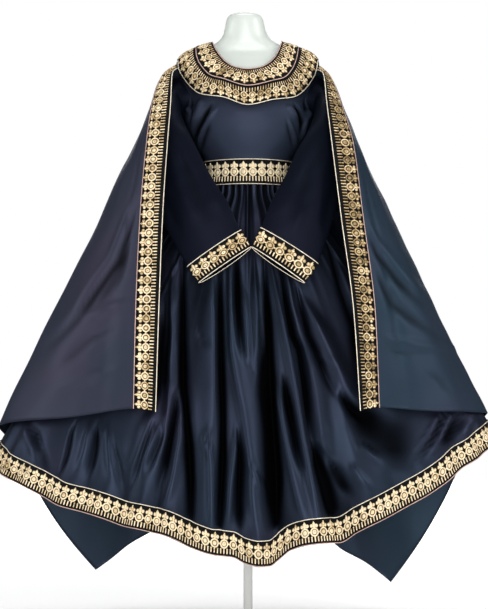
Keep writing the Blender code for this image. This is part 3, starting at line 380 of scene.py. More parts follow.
SLEEVE_CREASES = (
    (0.0035, 0.02, 0.02, ((-0.225, 1.33), (-0.19, 1.21), (-0.14, 1.08))),
    (-0.0035, 0.016, 0.016, ((-0.19, 1.3), (-0.15, 1.2), (-0.1, 1.1))),
    (-0.003, 0.014, 0.014, ((-0.235, 1.2), (-0.18, 1.06))),
    (0.002, 0.012, 0.012, ((-0.12, 1.24), (-0.07, 1.12))),
    (0.0035, 0.02, 0.02, ((0.225, 1.33), (0.2, 1.21), (0.16, 1.06))),
    (-0.0035, 0.016, 0.016, ((0.185, 1.3), (0.15, 1.2), (0.11, 1.1))),
    (-0.0035, 0.014, 0.014, ((0.235, 1.22), (0.2, 1.07))),
    (0.0025, 0.012, 0.012, ((0.15, 1.15), (0.12, 1.06))),
)
CAPE_LEFT_CREASES = (
    (-0.008, 0.012, 0.012, ((-0.293, 1.165), (-0.352, 0.997), (-0.455, 0.85), (-0.545, 0.755))),
    (0.006, 0.014, 0.014, ((-0.305, 1.19), (-0.37, 1.01), (-0.47, 0.87), (-0.56, 0.775))),
    (-0.005, 0.012, 0.012, ((-0.312, 1.065), (-0.35, 0.96), (-0.42, 0.85))),
    (0.0055, 0.016, 0.016, ((-0.312, 0.9), (-0.408, 0.85), (-0.443, 0.836))),
    (-0.004, 0.012, 0.012, ((-0.33, 0.83), (-0.42, 0.79), (-0.52, 0.7))),
    (0.004, 0.018, 0.018, ((-0.33, 1.33), (-0.37, 1.2), (-0.42, 1.06))),
    (0.004, 0.016, 0.016, ((-0.33, 0.72), (-0.42, 0.69), (-0.52, 0.64))),
)
CAPE_RIGHT_CREASES = (
    (-0.008, 0.012, 0.012, ((0.306, 1.1), (0.347, 1.017), (0.416, 0.934), (0.485, 0.865))),
    (0.006, 0.014, 0.014, ((0.318, 1.11), (0.36, 1.03), (0.428, 0.95), (0.497, 0.882))),
    (-0.006, 0.012, 0.012, ((0.326, 0.998), (0.388, 0.879), (0.485, 0.81), (0.552, 0.77))),
    (0.005, 0.016, 0.016, ((0.366, 0.798), (0.47, 0.765), (0.572, 0.75))),
    (-0.0035, 0.01, 0.01, ((0.48, 0.7), (0.52, 0.675), (0.545, 0.64))),
    (-0.0035, 0.01, 0.01, ((0.39, 0.76), (0.425, 0.74))),
    (0.004, 0.018, 0.018, ((0.33, 1.33), (0.372, 1.2), (0.41, 1.08))),
)
# the skirt's long folds and its creases, over the front and over the back
SKIRT_FRONT_CREASES = (
    (0.013, 0.009, 0.009, ((-0.205, 1.024), (-0.205, 0.799), (-0.212, 0.72), (-0.212, 0.6),
     (-0.22, 0.521), (-0.239, 0.473), (-0.255, 0.428))),
    (0.009, 0.007, 0.008, ((-0.22, 0.918), (-0.228, 0.799), (-0.236, 0.64), (-0.255, 0.561))),
    (0.013, 0.008, 0.01, ((-0.178, 0.667), (-0.181, 0.521), (-0.189, 0.481), (-0.199, 0.42),
     (-0.22, 0.349), (-0.239, 0.322))),
    (0.017, 0.045, 0.011, ((-0.099, 1.024), (-0.093, 0.799), (-0.093, 0.6), (-0.101, 0.494))),
    (0.014, 0.012, 0.012, ((-0.106, 0.561), (-0.101, 0.494), (-0.099, 0.415), (-0.096, 0.298))),
    (0.017, 0.011, 0.03, ((-0.053, 1.024), (-0.046, 0.839), (-0.043, 0.759), (-0.03, 0.68),
     (-0.014, 0.6), (-0.003, 0.521), (0.007, 0.455), (0.01, 0.362), (0.021, 0.293))),
    (0.013, 0.012, 0.009, ((0.015, 1.024), (0.023, 0.839), (0.026, 0.759), (0.018, 0.653))),
    (0.01, 0.009, 0.01, ((-0.014, 0.932), (-0.006, 0.839), (0.002, 0.72))),
    (0.015, 0.011, 0.012, ((0.055, 1.024), (0.082, 0.879), (0.098, 0.799), (0.113, 0.72),
     (0.129, 0.627), (0.145, 0.521), (0.161, 0.441), (0.177, 0.362), (0.188, 0.304))),
    (0.013, 0.01, 0.01, ((0.1, 0.993), (0.116, 0.879), (0.14, 0.799))),
    (0.015, 0.01, 0.026, ((0.137, 0.807), (0.166, 0.72), (0.18, 0.64), (0.19, 0.561),
     (0.201, 0.481), (0.217, 0.42))),
    (0.017, 0.014, 0.026, ((0.145, 0.903), (0.177, 0.839), (0.204, 0.781), (0.233, 0.72),
     (0.259, 0.659), (0.286, 0.6))),
    (0.014, 0.009, 0.022, ((0.066, 0.685), (0.074, 0.64), (0.09, 0.561), (0.106, 0.481),
     (0.121, 0.402), (0.143, 0.309))),
    (0.012, 0.009, 0.01, ((-0.032, 0.561), (-0.035, 0.481), (-0.046, 0.402), (-0.053, 0.304))),
    (-0.03, 0.009, 0.012, ((-0.181, 1.038), (-0.181, 0.799), (-0.178, 0.667), (-0.168, 0.58),
     (-0.16, 0.5), (-0.155, 0.415), (-0.154, 0.322))),
    (-0.022, 0.009, 0.009, ((-0.191, 0.667), (-0.197, 0.6), (-0.21, 0.521), (-0.223, 0.441),
     (-0.239, 0.388))),
    (-0.03, 0.009, 0.008, ((-0.077, 1.038), (-0.075, 0.799), (-0.072, 0.68), (-0.068, 0.574),
     (-0.068, 0.481), (-0.073, 0.362), (-0.077, 0.298))),
    (-0.024, 0.009, 0.012, ((-0.027, 0.561), (-0.022, 0.481), (-0.024, 0.362), (-0.022, 0.298))),
    (-0.022, 0.009, 0.009, ((-0.032, 1.038), (-0.03, 0.879), (-0.022, 0.786), (-0.011, 0.728))),
    (-0.034, 0.01, 0.013, ((0.042, 1.038), (0.05, 0.879), (0.054, 0.799), (0.057, 0.72),
     (0.06, 0.667), (0.064, 0.6), (0.07, 0.521), (0.076, 0.441), (0.077, 0.298))),
    (-0.023, 0.023, 0.012, ((0.034, 0.86), (0.039, 0.76), (0.044, 0.68), (0.05, 0.6),
     (0.056, 0.521), (0.062, 0.441), (0.066, 0.298))),
    (-0.028, 0.014, 0.01, ((0.095, 0.701), (0.106, 0.64), (0.119, 0.561), (0.132, 0.489),
     (0.148, 0.428))),
    (-0.027, 0.009, 0.008, ((0.084, 1.024), (0.106, 0.879), (0.121, 0.799), (0.14, 0.759),
     (0.153, 0.667), (0.161, 0.574), (0.172, 0.494))),
    (-0.03, 0.012, 0.026, ((0.172, 0.521), (0.185, 0.455), (0.201, 0.402), (0.222, 0.314))),
    (-0.017, 0.009, 0.008, ((0.129, 0.945), (0.151, 0.852), (0.164, 0.799), (0.185, 0.754),
     (0.212, 0.68), (0.238, 0.632))),
    (-0.024, 0.012, 0.012, ((0.246, 0.648), (0.275, 0.606), (0.302, 0.574))),
    (0.0128, 0.021, 0.021, ((-0.25, 0.63), (-0.276, 0.504), (-0.323, 0.395))),
    (-0.024, 0.02, 0.02, ((-0.224, 0.899), (-0.232, 0.677), (-0.261, 0.582))),
    (-0.015, 0.012, 0.012, ((0.215, 1.069), (0.249, 0.947), (0.292, 0.819), (0.301, 0.66))),
    (0.011, 0.013, 0.013, ((-0.616, 0.556), (-0.586, 0.502), (-0.557, 0.457))),
    (-0.014, 0.012, 0.012, ((-0.593, 0.564), (-0.566, 0.489), (-0.539, 0.43))),
    (-0.013, 0.004, 0.009, ((-0.462, 0.572), (-0.479, 0.537), (-0.491, 0.476), (-0.511, 0.414))),
    (0.011, 0.014, 0.014, ((-0.425, 0.564), (-0.436, 0.489), (-0.457, 0.422))),
    (-0.012, 0.009, 0.01, ((-0.406, 0.567), (-0.414, 0.489), (-0.428, 0.408))),
    (0.011, 0.014, 0.014, ((-0.379, 0.556), (-0.371, 0.47), (-0.36, 0.403))),
    (-0.01, 0.01, 0.012, ((-0.366, 0.527), (-0.347, 0.449), (-0.331, 0.376))),
    (-0.015, 0.007, 0.008, ((-0.248, 0.58), (-0.272, 0.516), (-0.291, 0.457), (-0.309, 0.392))),
    (0.008, 0.007, 0.007, ((-0.234, 0.564), (-0.258, 0.502), (-0.288, 0.441))),
    (-0.009, 0.007, 0.007, ((-0.221, 0.554), (-0.245, 0.489), (-0.269, 0.435))),
    (0.006, 0.024, 0.01, ((0.231, 0.699), (0.255, 0.597), (0.271, 0.516), (0.287, 0.451))),
    (-0.015, 0.055, 0.06, ((0.301, 0.634), (0.354, 0.532), (0.403, 0.43))),
    (0.01, 0.009, 0.008, ((0.526, 0.599), (0.486, 0.529), (0.438, 0.462))),
    (-0.011, 0.008, 0.008, ((0.542, 0.599), (0.502, 0.524), (0.454, 0.459))),
    (0.009, 0.008, 0.008, ((0.559, 0.597), (0.516, 0.521), (0.473, 0.459))),
    (-0.014, 0.012, 0.012, ((0.585, 0.594), (0.559, 0.548), (0.526, 0.497))),
    (0.008, 0.011, 0.011, ((0.615, 0.583), (0.593, 0.543), (0.569, 0.511))),
    (0.005, 0.007, 0.007, ((0.274, 0.502), (0.311, 0.492), (0.357, 0.454))),
    (-0.005, 0.006, 0.006, ((0.279, 0.516), (0.317, 0.508), (0.357, 0.478))),
    (0.01, 0.012, 0.012, ((0.274, 0.457), (0.301, 0.414), (0.322, 0.387))),
    (-0.015, 0.014, 0.014, ((0.215, 0.468), (0.244, 0.419), (0.268, 0.371))),
    (-0.006, 0.005, 0.005, ((-0.032, 0.701), (-0.003, 0.691), (0.018, 0.712))),
    (0.007, 0.006, 0.006, ((-0.106, 0.553), (-0.122, 0.519), (-0.098, 0.463))),
    (0.008, 0.006, 0.008, ((-0.006, 0.463), (0.018, 0.429), (0.042, 0.384))),
    (-0.006, 0.005, 0.005, ((0.005, 0.469), (0.037, 0.416), (0.058, 0.373))),
    (0.007, 0.006, 0.008, ((0.169, 0.529), (0.195, 0.508), (0.216, 0.474))),
    (-0.007, 0.005, 0.006, ((0.195, 0.49), (0.224, 0.453), (0.256, 0.432))),
    (-0.006, 0.005, 0.006, ((-0.138, 0.813), (-0.12, 0.781), (-0.096, 0.765))),
    (0.006, 0.005, 0.006, ((0.185, 0.754), (0.211, 0.728), (0.238, 0.717))),
)
SKIRT_BACK_CREASES = (
    (0.016, 0.025, 0.025, ((-0.09, 1.05), (-0.13, 0.8), (-0.15, 0.56), (-0.175, 0.33))),
    (-0.0288, 0.017, 0.017, ((-0.06, 1.05), (-0.085, 0.8), (-0.095, 0.56), (-0.11, 0.32))),
    (0.0144, 0.016, 0.016, ((-0.02, 1.06), (-0.03, 0.8), (-0.022, 0.56), (-0.035, 0.31))),
    (-0.0336, 0.019, 0.019, ((0.02, 1.04), (0.028, 0.8), (0.04, 0.56), (0.036, 0.31))),
    (0.016, 0.028, 0.028, ((0.06, 1.05), (0.09, 0.8), (0.12, 0.56), (0.13, 0.32))),
    (-0.0264, 0.015, 0.015, ((0.1, 1.04), (0.155, 0.78), (0.185, 0.56), (0.215, 0.34))),
    (0.0144, 0.021, 0.021, ((0.14, 1.02), (0.22, 0.78), (0.28, 0.56), (0.32, 0.37))),
    (-0.024, 0.02, 0.02, ((-0.14, 1.04), (-0.215, 0.78), (-0.25, 0.56), (-0.29, 0.36))),
)

# the motif is drawn in millimetres on a band 61 wide, with circles 25.7 apart
MOTIF_WIDTH = 61.0
MOTIF_PITCH = 25.7
TO_MM = 1000
# satin stitch: points along it, half width at each, share of the full height; the flower's stem
# comes first, then the comb's three bars
MOTIF_STROKES = (
    (((0.0, 8.0), (0.0, 13.0), (0.0, 19.0)), (3.0, 3.4, 3.2), 1.0),
    (((0.0, 40.6), (0.0, 45.5), (0.0, 52.0)), (1.7, 2.0, 1.8), 0.95),
    (((8.57, 40.6), (8.57, 45.5), (8.57, 52.0)), (1.7, 2.0, 1.8), 0.9),
    (((17.13, 40.6), (17.13, 45.5), (17.13, 52.0)), (1.7, 2.0, 1.8), 0.9),
)
# padded dots: centre, radius, share of the full height; the flower's tip and lobes come first,
# then the button in the circle, the link to the next circle and the beads on the comb
MOTIF_DOTS = (
    (0.0, 3.7, 1.9, 1.3), (0.0, 8.2, 4.4, 1.1), (-6.9, 12.8, 4.9, 1.1), (6.9, 12.8, 4.9, 1.1),
    (0.0, 28.0, 6.4, 1.15), (0.0, 28.0, 2.5, 1.9), (12.85, 27.8, 2.7, 1.0),
    (0.0, 40.9, 2.3, 1.1), (8.57, 40.4, 2.5, 1.1), (17.13, 40.4, 2.5, 1.1),
)
# the circle: centre, radius, half width, share of the full height
MOTIF_RING = (0.0, 28.0, 9.3, 2.4, 1.2)
RING_STEPS = 26
# dots with a smaller radius are beads, with fewer sides
MOTIF_BEAD = 2.8
BEAD_SIDES, DOT_SIDES = 9, 14
# across a stitch from edge to edge, and its edges this far under the band's face
STITCH_ACROSS = (-1.0, -0.72, 0.0, 0.72, 1.0)
STITCH_ROOT = -0.25
# share of a dot's radius, then share of its height
DOT_RINGS = ((0.82, 0.62), (0.45, 0.92), (0.05, 1.0))
# a stitch's ends: how square they are, and the least share of its width there
STITCH_END = 10
STITCH_TIP = 0.02
DOT_MAP = 0.6                # share of a dot's radius at which its stitch map is true
# rise and fall in the height of the stitches, and how much of their tone is a unit's own
HEIGHT_CHANGE = 0.03
UNIT_TONE = 0.25
BAND_END = 0.0008            # thread keeps this far from the ends of an open band
# embroidery of each band: seed, painted light on its thread (painted shade below 0), how far the
# motif is moved across the band in millimetres, distance between its circles or None for the usual
# one
STITCHING = {
    "collar_inner": (5, 0.0, 2.0, 0.0215), "collar_outer": (6, 0.0, 2.0, 0.0225),
    "hem_band_front": (11, 0.36, 3.5, None), "hem_band_back": (12, 0.36, 3.5, None),
    "belt": (21, 1.15, 3.0, None),
    "cuff_left": (41, 0.0, 2.0, 0.0292), "cuff_right": (42, 0.0, 2.0, 0.0292),
    "cape_band_left": (51, 0.08, -0.5, None), "cape_band_right": (52, -0.42, -0.5, None),
}

# how satin changes slowly from place to place: where, and shares of its red, green and blue
DYE_STOPS = (
    (0.30, (0.76, 0.95, 0.92)), (0.50, (0.94, 1.0, 1.0)), (0.70, (1.18, 1.03, 1.08)),
)
THREAD_GLINT = (0.95, 0.80, 0.55)    # the gold thread's painted highlight, its palest colour
# the cape's colour goes from the left half's to the right half's within this distance of the
# centre, and within this distance of the side from front to back
CAPE_COLOUR_REACH = 0.20
CAPE_COLOUR_DEPTH = 0.12

WHITE = (1.0, 1.0, 1.0, 1.0)
FLOOR_RADIUS, FLOOR_SIDES = 5.0, 96
FLOOR_COLOUR = (0.93, 0.93, 0.93, 1.0)
# distances from the middle between which the floor's own light grows, least and most of it
FLOOR_GLOW = (1.4, 3.4, 0.25, 0.95)
# name, place, aim, size and power
LIGHTS = (
    ("key_light", (0.4, -6.6, 1.5), (0.0, 0.0, 0.95), 4.8, 325.0),
    ("left_light", (-5.0, -1.4, 2.2), (0.0, 0.0, 1.2), 3.2, 115.0),
    ("right_light", (4.6, -2.0, 3.2), (0.2, 0.0, 1.4), 3.2, 140.0),
    ("top_light", (0.0, 0.4, 4.6), (0.0, 0.0, 0.8), 2.4, 70.0),
    ("back_light", (0.0, 5.0, 1.8), (0.0, 0.0, 0.9), 4.0, 110.0),
)
AIR_LIGHT = 0.06             # light that comes from all sides
CAMERA_PLACE = (-0.01108, -6.0, 0.88)
CAMERA_SENSOR = 36.0
CAMERA_LENS = CAMERA_SENSOR * 2166 / 609     # the view is 2166 pixels away and 609 high
CAMERA_REACH = 60.0


class DressSizes(bpy.types.PropertyGroup):
    """Sizes that may be changed without recutting the dress."""

    satin_wall: bpy.props.FloatProperty(
        name="Satin thickness", description="Thickness of the satin panels",
        default=0.0012, min=0.0005, max=0.003, unit="LENGTH")
    band_wall: bpy.props.FloatProperty(
        name="Band thickness", description="Thickness of the black bands under the embroidery",
        default=0.0014, min=0.0005, max=0.003, unit="LENGTH")
    band_lift: bpy.props.FloatProperty(
        name="Band lift", description="From a panel's middle to the middle of the band on it",
        default=0.0021, min=0.0014, max=0.004, unit="LENGTH")
    piping_radius: bpy.props.FloatProperty(
        name="Piping radius", description="Radius of the piping on the band edges",
        default=0.0012, min=0.0008, max=0.003, unit="LENGTH")
    cord_radius: bpy.props.FloatProperty(
        name="Collar cord radius", description="Radius of the collar's gold and copper cords",
        default=0.0012, min=0.001, max=0.003, unit="LENGTH")
    stitch_height: bpy.props.FloatProperty(
        name="Stitch height", description="How far the gold satin stitch stands out",
        default=0.0014, min=0.0003, max=0.003, unit="LENGTH")
    motif_pitch: bpy.props.FloatProperty(
        name="Motif pitch", description="Distance from one embroidered circle to the next",
        default=0.0257, min=0.015, max=0.05, unit="LENGTH")


class DressColours(bpy.types.PropertyGroup):
    """Colours of the cloth, the thread and the form."""

    satin: bpy.props.FloatVectorProperty(
        name="Satin", description="Dark navy satin of skirt and bodice", subtype="COLOR",
        default=(0.0285, 0.0350, 0.0580), min=0.0, max=1.0)
    cape_left: bpy.props.FloatVectorProperty(
        name="Left cape", description="Satin of the cape's left half", subtype="COLOR",
        default=(0.0325, 0.0355, 0.0555), min=0.0, max=1.0)
    cape_right: bpy.props.FloatVectorProperty(
        name="Right cape", description="Satin of the cape's right half", subtype="COLOR",
        default=(0.0225, 0.0345, 0.0540), min=0.0, max=1.0)
    # the sleeves' satin is a darker copy of the navy satin: painted shade
    sleeves: bpy.props.FloatVectorProperty(
        name="Sleeves", description="Satin of the sleeves", subtype="COLOR",
        default=(0.0053, 0.0068, 0.0134), min=0.0, max=1.0)
    ground: bpy.props.FloatVectorProperty(
        name="Band ground", description="Black cloth under the embroidery", subtype="COLOR",
        default=(0.0022, 0.0022, 0.0030), min=0.0, max=1.0)
    thread: bpy.props.FloatVectorProperty(
        name="Gold thread", description="Metallic thread of the embroidery", subtype="COLOR",
        default=(0.5200, 0.3600, 0.1650), min=0.0, max=1.0)
    piping: bpy.props.FloatVectorProperty(
        name="Gold cord", description="Pale gold cord on collar and bands", subtype="COLOR",
        default=(0.8800, 0.7400, 0.5900), min=0.0, max=1.0)
    copper: bpy.props.FloatVectorProperty(
        name="Copper cord", description="Dull copper cord on collar and bands", subtype="COLOR",
        default=(0.5200, 0.3500, 0.3000), min=0.0, max=1.0)
    form: bpy.props.FloatVectorProperty(
        name="Form", description="Glossy white plastic of the dress form", subtype="COLOR",
        default=(0.6000, 0.6450, 0.6050), min=0.0, max=1.0)
    stand: bpy.props.FloatVectorProperty(
        name="Stand", description="White paint of the pole and base", subtype="COLOR",
        default=(0.8000, 0.8000, 0.7800), min=0.0, max=1.0)


def ramp(value, none_at, full_at):
    """0 at one value and 1 at another, straight between them and level beyond."""
    return np.clip((value - none_at) / (full_at - none_at), 0.0, 1.0)


def part_way(grid, moved, share):
    """The grid moved a share of the way, given for each of its points."""
    return grid + (moved - grid) * share[..., None]


def smooth(keys, values, at):
    """Values (first axis runs over the keys) at `at`, smoothed without overshoot."""
    keys = np.asarray(keys, float)
    values = np.asarray(values, float)
    at = np.asarray(at, float)
    flat = np.clip(at.ravel(), keys[0], keys[-1])
    rest = (1,) * (values.ndim - 1)
    steps = np.diff(keys).reshape((-1,) + rest)
    slopes = np.diff(values, axis=0) / steps
    tangents = np.concatenate((slopes[:1], np.zeros_like(values[1:-1]), slopes[-1:]))
    left, right = slopes[:-1], slopes[1:]
    same = left * right > 0
    tangents[1:-1] = np.where(same, 2 * left * right / np.where(same, left + right, 1.0), 0.0)
    place = np.clip(np.searchsorted(keys, flat, side="right") - 1, 0, len(keys) - 2)
    span = steps[place]
    part = ((flat - keys[place]) / np.diff(keys)[place]).reshape((-1,) + rest)
    square, cube = part ** 2, part ** 3
    result = (
        values[place] * (2 * cube - 3 * square + 1)
        + tangents[place] * span * (cube - 2 * square + part)
        + values[place + 1] * (3 * square - 2 * cube)
        + tangents[place + 1] * span * (cube - square)
    )
    return result.reshape(at.shape + values.shape[1:])


def column(table, number, at):
    """A table's column where its first column is `at`."""
    return smooth([row[0] for row in table], [row[number] for row in table], at)


def along(points, share):
    """Points at shares of the way along a row of points, by the points' numbering."""
    points = np.asarray(points, float)
    share = np.clip(np.asarray(share, float), 0.0, 1.0)
    return smooth(np.arange(len(points)), points, share * (len(points) - 1))


def form_half(height, lift):
    """Half width and half depth of the form at heights, moved out by `lift`."""
    height = np.asarray(height, float)
    lowered = np.where(height > UNDERARM_HEIGHT, height - lift, height)
    return column(FORM, 1, lowered) + lift, column(FORM, 2, lowered) + lift


def ridge_height(x, lift):
    """Height of the shoulder ridge of the lifted form above x."""
    heights = np.arange(FORM[-1][0], SHOULDER_TIP_HEIGHT, -RIDGE_STEP)
    wide = form_half(heights, lift)[0] >= abs(x)
    return heights[np.argmax(wide)]


def on_form(x, height, lift, side):
    """Points of the lifted form above x; side is -1 for the front and 1 for the back."""
    width, depth = form_half(height, lift)
    inside = np.maximum(0.0, 1.0 - (x / width) ** 2)
    return np.stack((x, side * depth * np.sqrt(inside), height), axis=-1)


def facing_out(grid, closed, centres=None):
    """Unit normals of a grid, all looking away from the body or from a tube's centre line."""
    if closed:
        across = np.roll(grid, -1, axis=1) - np.roll(grid, 1, axis=1)
    else:
        across = np.gradient(grid, axis=1)
    normals = np.cross(across, np.gradient(grid, axis=0))
    normals /= np.maximum(np.linalg.norm(normals, axis=2, keepdims=True), 1e-12)
    away = grid * (1.0, 1.0, 0.0) if centres is None else grid - centres[:, None, :]
    return normals if (normals * away).sum() > 0 else -normals


def crease_lift(grid, creases):
    """How far creases lift each point of a grid, with their own width on either side."""
    lift = np.zeros(grid.shape[:2])
    for height, left, right, points in creases:
        gap = np.full(grid.shape[:2], np.inf)
        width = np.full(grid.shape[:2], left)
        for (x0, z0), (x1, z1) in zip(points, points[1:]):
            dx, dz = x1 - x0, z1 - z0
            px, pz = grid[..., 0] - x0, grid[..., 2] - z0
            part = np.clip((px * dx + pz * dz) / (dx * dx + dz * dz), 0.0, 1.0)
            reach = np.hypot(px - part * dx, pz - part * dz)
            nearer = reach < gap
            gap = np.where(nearer, reach, gap)
            width = np.where(nearer, np.where(dx * pz > dz * px, right, left), width)
        top, bottom = points[0][1], points[-1][1]
        down = ramp(grid[..., 2], top, bottom)
        kept, fading = HEM_CREASE_END if bottom < CREASE_TO_HEM else CREASE_END
        grown = ramp(down, 0.0, CREASE_RISE) * (kept + (1 - kept) * ramp(down, 1.0, 1 - fading))
        width = width * (CREASE_TIP + (1 - CREASE_TIP) * ramp(down, 0.0, CREASE_WIDENING))
        lift += height * grown * np.exp(-(gap / width) ** 2)
    return lift


def painted_shade_share(lift, start, depth):
    """Share of painted shade: 0 where creases lift cloth above `start`, 1 where they lower it
    `depth` below that.
    """
    share = ramp(lift, start, start - depth)
    return share ** 2 * (3 - 2 * share)


def creased(grid, normals, creases, start=0.0, depth=SOFT_HOLLOW):
    """The grid with its creases, and the shade painted on each point in their hollows."""
    lift = crease_lift(grid, creases)
    return grid + normals * lift[..., None], painted_shade_share(lift, start, depth)


def uneven(grid, normals, height, waves, phase):
    """The grid with the slight unevenness of hung cloth."""
    x, y, z = (grid[..., k] * waves for k in range(3))
    # each wave has another length and slant, so that no pattern shows
    wave = np.sin(1.7 * x + 0.9 * z + phase) * np.sin(1.1 * z - 1.3 * y + 2.1 * phase)
    wave += 0.5 * np.sin(3.1 * x - 1.9 * z + 0.7 * phase) * np.sin(2.3 * y + 2.7 * z + phase)
    return grid + normals * (wave * height)[..., None]


def arc(points):
    """Running length along a row of points."""
    steps = np.linalg.norm(np.diff(points, axis=0), axis=1)
    return np.concatenate(((0.0,), np.cumsum(steps)))


def new_material(name):
    """Empty node material: itself, its nodes, its shader and its coordinates."""
    material = bpy.data.materials.new(name)
    material.use_nodes = True
    tree = material.node_tree
    where = tree.nodes.new("ShaderNodeTexCoord")
    return material, tree, tree.nodes["Principled BSDF"], where


def add_node(tree, kind, settings=(), values=(), links=()):
    """New node with its settings, socket values and incoming links."""
    node = tree.nodes.new(kind)
    for key, value in settings:
        setattr(node, key, value)
    for key, value in values:
        node.inputs[key].default_value = value
    for key, source in links:
        tree.links.new(source, node.inputs[key])
    return node


def given_value(tree, label):
    """The value that a piece's points carry under a label."""
    return add_node(tree, "ShaderNodeAttribute", (("attribute_name", label),)).outputs["Fac"]


def mottling(tree, where, scale, detail, roughness=0.5):
    """Irregular patches over the whole object."""
    values = (("Scale", scale), ("Detail", detail), ("Roughness", roughness))
    links = (("Vector", where.outputs["Object"]),)
    return add_node(tree, "ShaderNodeTexNoise", (), values, links).outputs["Fac"]


def lines(tree, where, direction, scale, distortion, detail=2.0):
    """Fine lines of weave, stitch or twist that follow the cloth."""
    values = (("Scale", scale), ("Distortion", distortion), ("Detail", detail))
    links = (("Vector", where.outputs["UV"]),)
    node = add_node(tree, "ShaderNodeTexWave", (("bands_direction", direction),), values, links)
    return node.outputs["Fac"]


def weighed(tree, source, weight, base=None, held=False):
    """A value times a weight, on top of a base; held between 0 and 1 if asked."""
    settings = (("operation", "MULTIPLY_ADD"), ("use_clamp", held))
    links = ((0, source), (2, base)) if base else ((0, source),)
    node = add_node(tree, "ShaderNodeMath", settings, ((1, weight), (2, 0.0)), links)
    return node.outputs["Value"]


def both_values(tree, operation, first, second):
    """Two values put together by one of Blender's math operations."""
    links = ((0, first), (1, second))
    node = add_node(tree, "ShaderNodeMath", (("operation", operation),), (), links)
    return node.outputs["Value"]


def between(tree, source, low, high, least=0.0, most=1.0):
    """A value from low to high, turned into one from least to most."""
    values = (("From Min", low), ("From Max", high), ("To Min", least), ("To Max", most))
    node = add_node(tree, "ShaderNodeMapRange", (), values, (("Value", source),))
    return node.outputs["Result"]


def blended(tree, share, first, second):
    """Colour between two by a share; the second may be a plain colour."""
    node = add_node(tree, "ShaderNodeMix", (("data_type", "RGBA"),), (), ((0, share), (6, first)))
    if isinstance(second, tuple):
        node.inputs[7].default_value = (*second, 1.0)
    else:
        tree.links.new(second, node.inputs[7])
    return node.outputs[2]


def relief(tree, height, strength, distance, under=None):
    """Surface that stands out by a height, over another relief if one is given."""
    links = (("Height", height), ("Normal", under)) if under else (("Height", height),)
    values = (("Strength", strength), ("Distance", distance))
    return add_node(tree, "ShaderNodeBump", (), values, links).outputs["Normal"]


def shades(tree, source, stops):
    """Colours over a value, from stop to stop."""
    node = add_node(tree, "ShaderNodeValToRGB", (), (), ((0, source),))
    elements = node.color_ramp.elements
    while len(elements) < len(stops):
        elements.new(0.5)
    for element, (place, colour) in zip(elements, stops):
        element.position = place
        element.color = (*colour, 1.0)
    return node.outputs["Color"]


def times(colour, factor):
    """Colour made lighter or darker."""
    return tuple(min(1.0, c * factor) for c in colour)


def finish_off(tree, shader, links, values):
    """The shader's own sockets, linked or set."""
    for key, source in links.items():
        tree.links.new(source, shader.inputs[key])
    for key, value in values.items():
        shader.inputs[key].default_value = value


def dyed(tree, slow, colour):
    """Slowly changing colour of satin whose pile of floats lies unevenly."""
    return shades(tree, slow, [
        (place, [c * share for c, share in zip(colour, shares)]) for place, shares in DYE_STOPS])


def satin_material(name, colour, gleam, right=None):
    """Satin: slanting floats of its weave, its gleam tinted by the dye, painted shade and more
    roughness in the hollows.
    """
    material, tree, shader, where = new_material(name)
    slow = mottling(tree, where, scale=3.2, detail=3.0)
    # painted shade: darkens the base colour towards HOLLOW_SHADE in the cloth's hollows
    deep = given_value(tree, "hollow")
    sheen = dyed(tree, slow, colour)
    if right:
        place = add_node(tree, "ShaderNodeSeparateXYZ", links=((0, where.outputs["Object"]),))
        across = between(tree, place.outputs["X"], -CAPE_COLOUR_REACH, CAPE_COLOUR_REACH)
        behind = between(tree, place.outputs["Y"], -CAPE_COLOUR_DEPTH, CAPE_COLOUR_DEPTH)
        other = tuple(getattr(bpy.context.scene.dress_colours, right))
        sheen = blended(tree, both_values(tree, "MAXIMUM", across, behind), sheen,
                        dyed(tree, slow, other))
    gloss = between(tree, slow, low=0.3, high=0.7, least=0.44, most=0.50)
    floats = lines(tree, where, "DIAGONAL", scale=420.0, distortion=1.5, detail=1.0)
    weave = relief(tree, floats, strength=0.10, distance=0.0002)
    ripples = mottling(tree, where, scale=22.0, detail=4.0, roughness=0.55)
    wrinkle = relief(tree, ripples, strength=0.16, distance=0.004, under=weave)
    finish_off(tree, shader, {
        "Base Color": blended(tree, deep, sheen, times(colour, HOLLOW_SHADE)),
        "Roughness": weighed(tree, deep, HOLLOW_DULLNESS, gloss, held=True), "Normal": wrinkle,
    }, {"Metallic": gleam, "Specular IOR Level": 0.06})
    return material


def ground_material(name, colour):
    """Matt black cloth under the embroidery, with a plain weave."""
    material, tree, shader, where = new_material(name)
    threads = [lines(tree, where, way, scale=300.0, distortion=0.6) for way in ("X", "Y")]
    weave = both_values(tree, "MULTIPLY", *threads)
    finish_off(tree, shader, {
        "Base Color": shades(tree, weave, ((0.0, times(colour, 0.7)), (1.0, times(colour, 1.6)))),
        "Normal": relief(tree, weave, strength=0.5, distance=0.0003),
    }, {"Roughness": 0.75, "Specular IOR Level": 0.12})
    return material


def thread_material(name, colour):
    """Gold metallic thread: ridged stitches, painted shade at their sides, painted highlights and
    glints.
    """
    material, tree, shader, where = new_material(name)
    stitches = lines(tree, where, "X", scale=330.0, distortion=2.0)
    worn = mottling(tree, where, scale=38.0, detail=2.0)
    glint = mottling(tree, where, scale=260.0, detail=4.0, roughness=0.65)
    # crest paints shade and highlight, glint paints glints, tone adds each band's painted light to
    # random tone; worn and the stitch lines vary at random
    tone = None
    for source, weight in (
        (given_value(tree, "crest"), 0.38), (worn, 0.42), (given_value(tree, "tone"), 0.28),
        (glint, 0.40), (stitches, 0.14),
    ):
        tone = weighed(tree, source, weight, tone)
    finish_off(tree, shader, {
        "Base Color": shades(tree, tone, (
            (0.50, times(colour, 0.05)), (0.70, times(colour, 0.36)),
            (0.88, times(colour, 1.05)), (1.0, THREAD_GLINT))),
        "Normal": relief(tree, stitches, strength=0.55, distance=0.0004),
    }, {"Metallic": 0.55, "Roughness": 0.36})
    return material


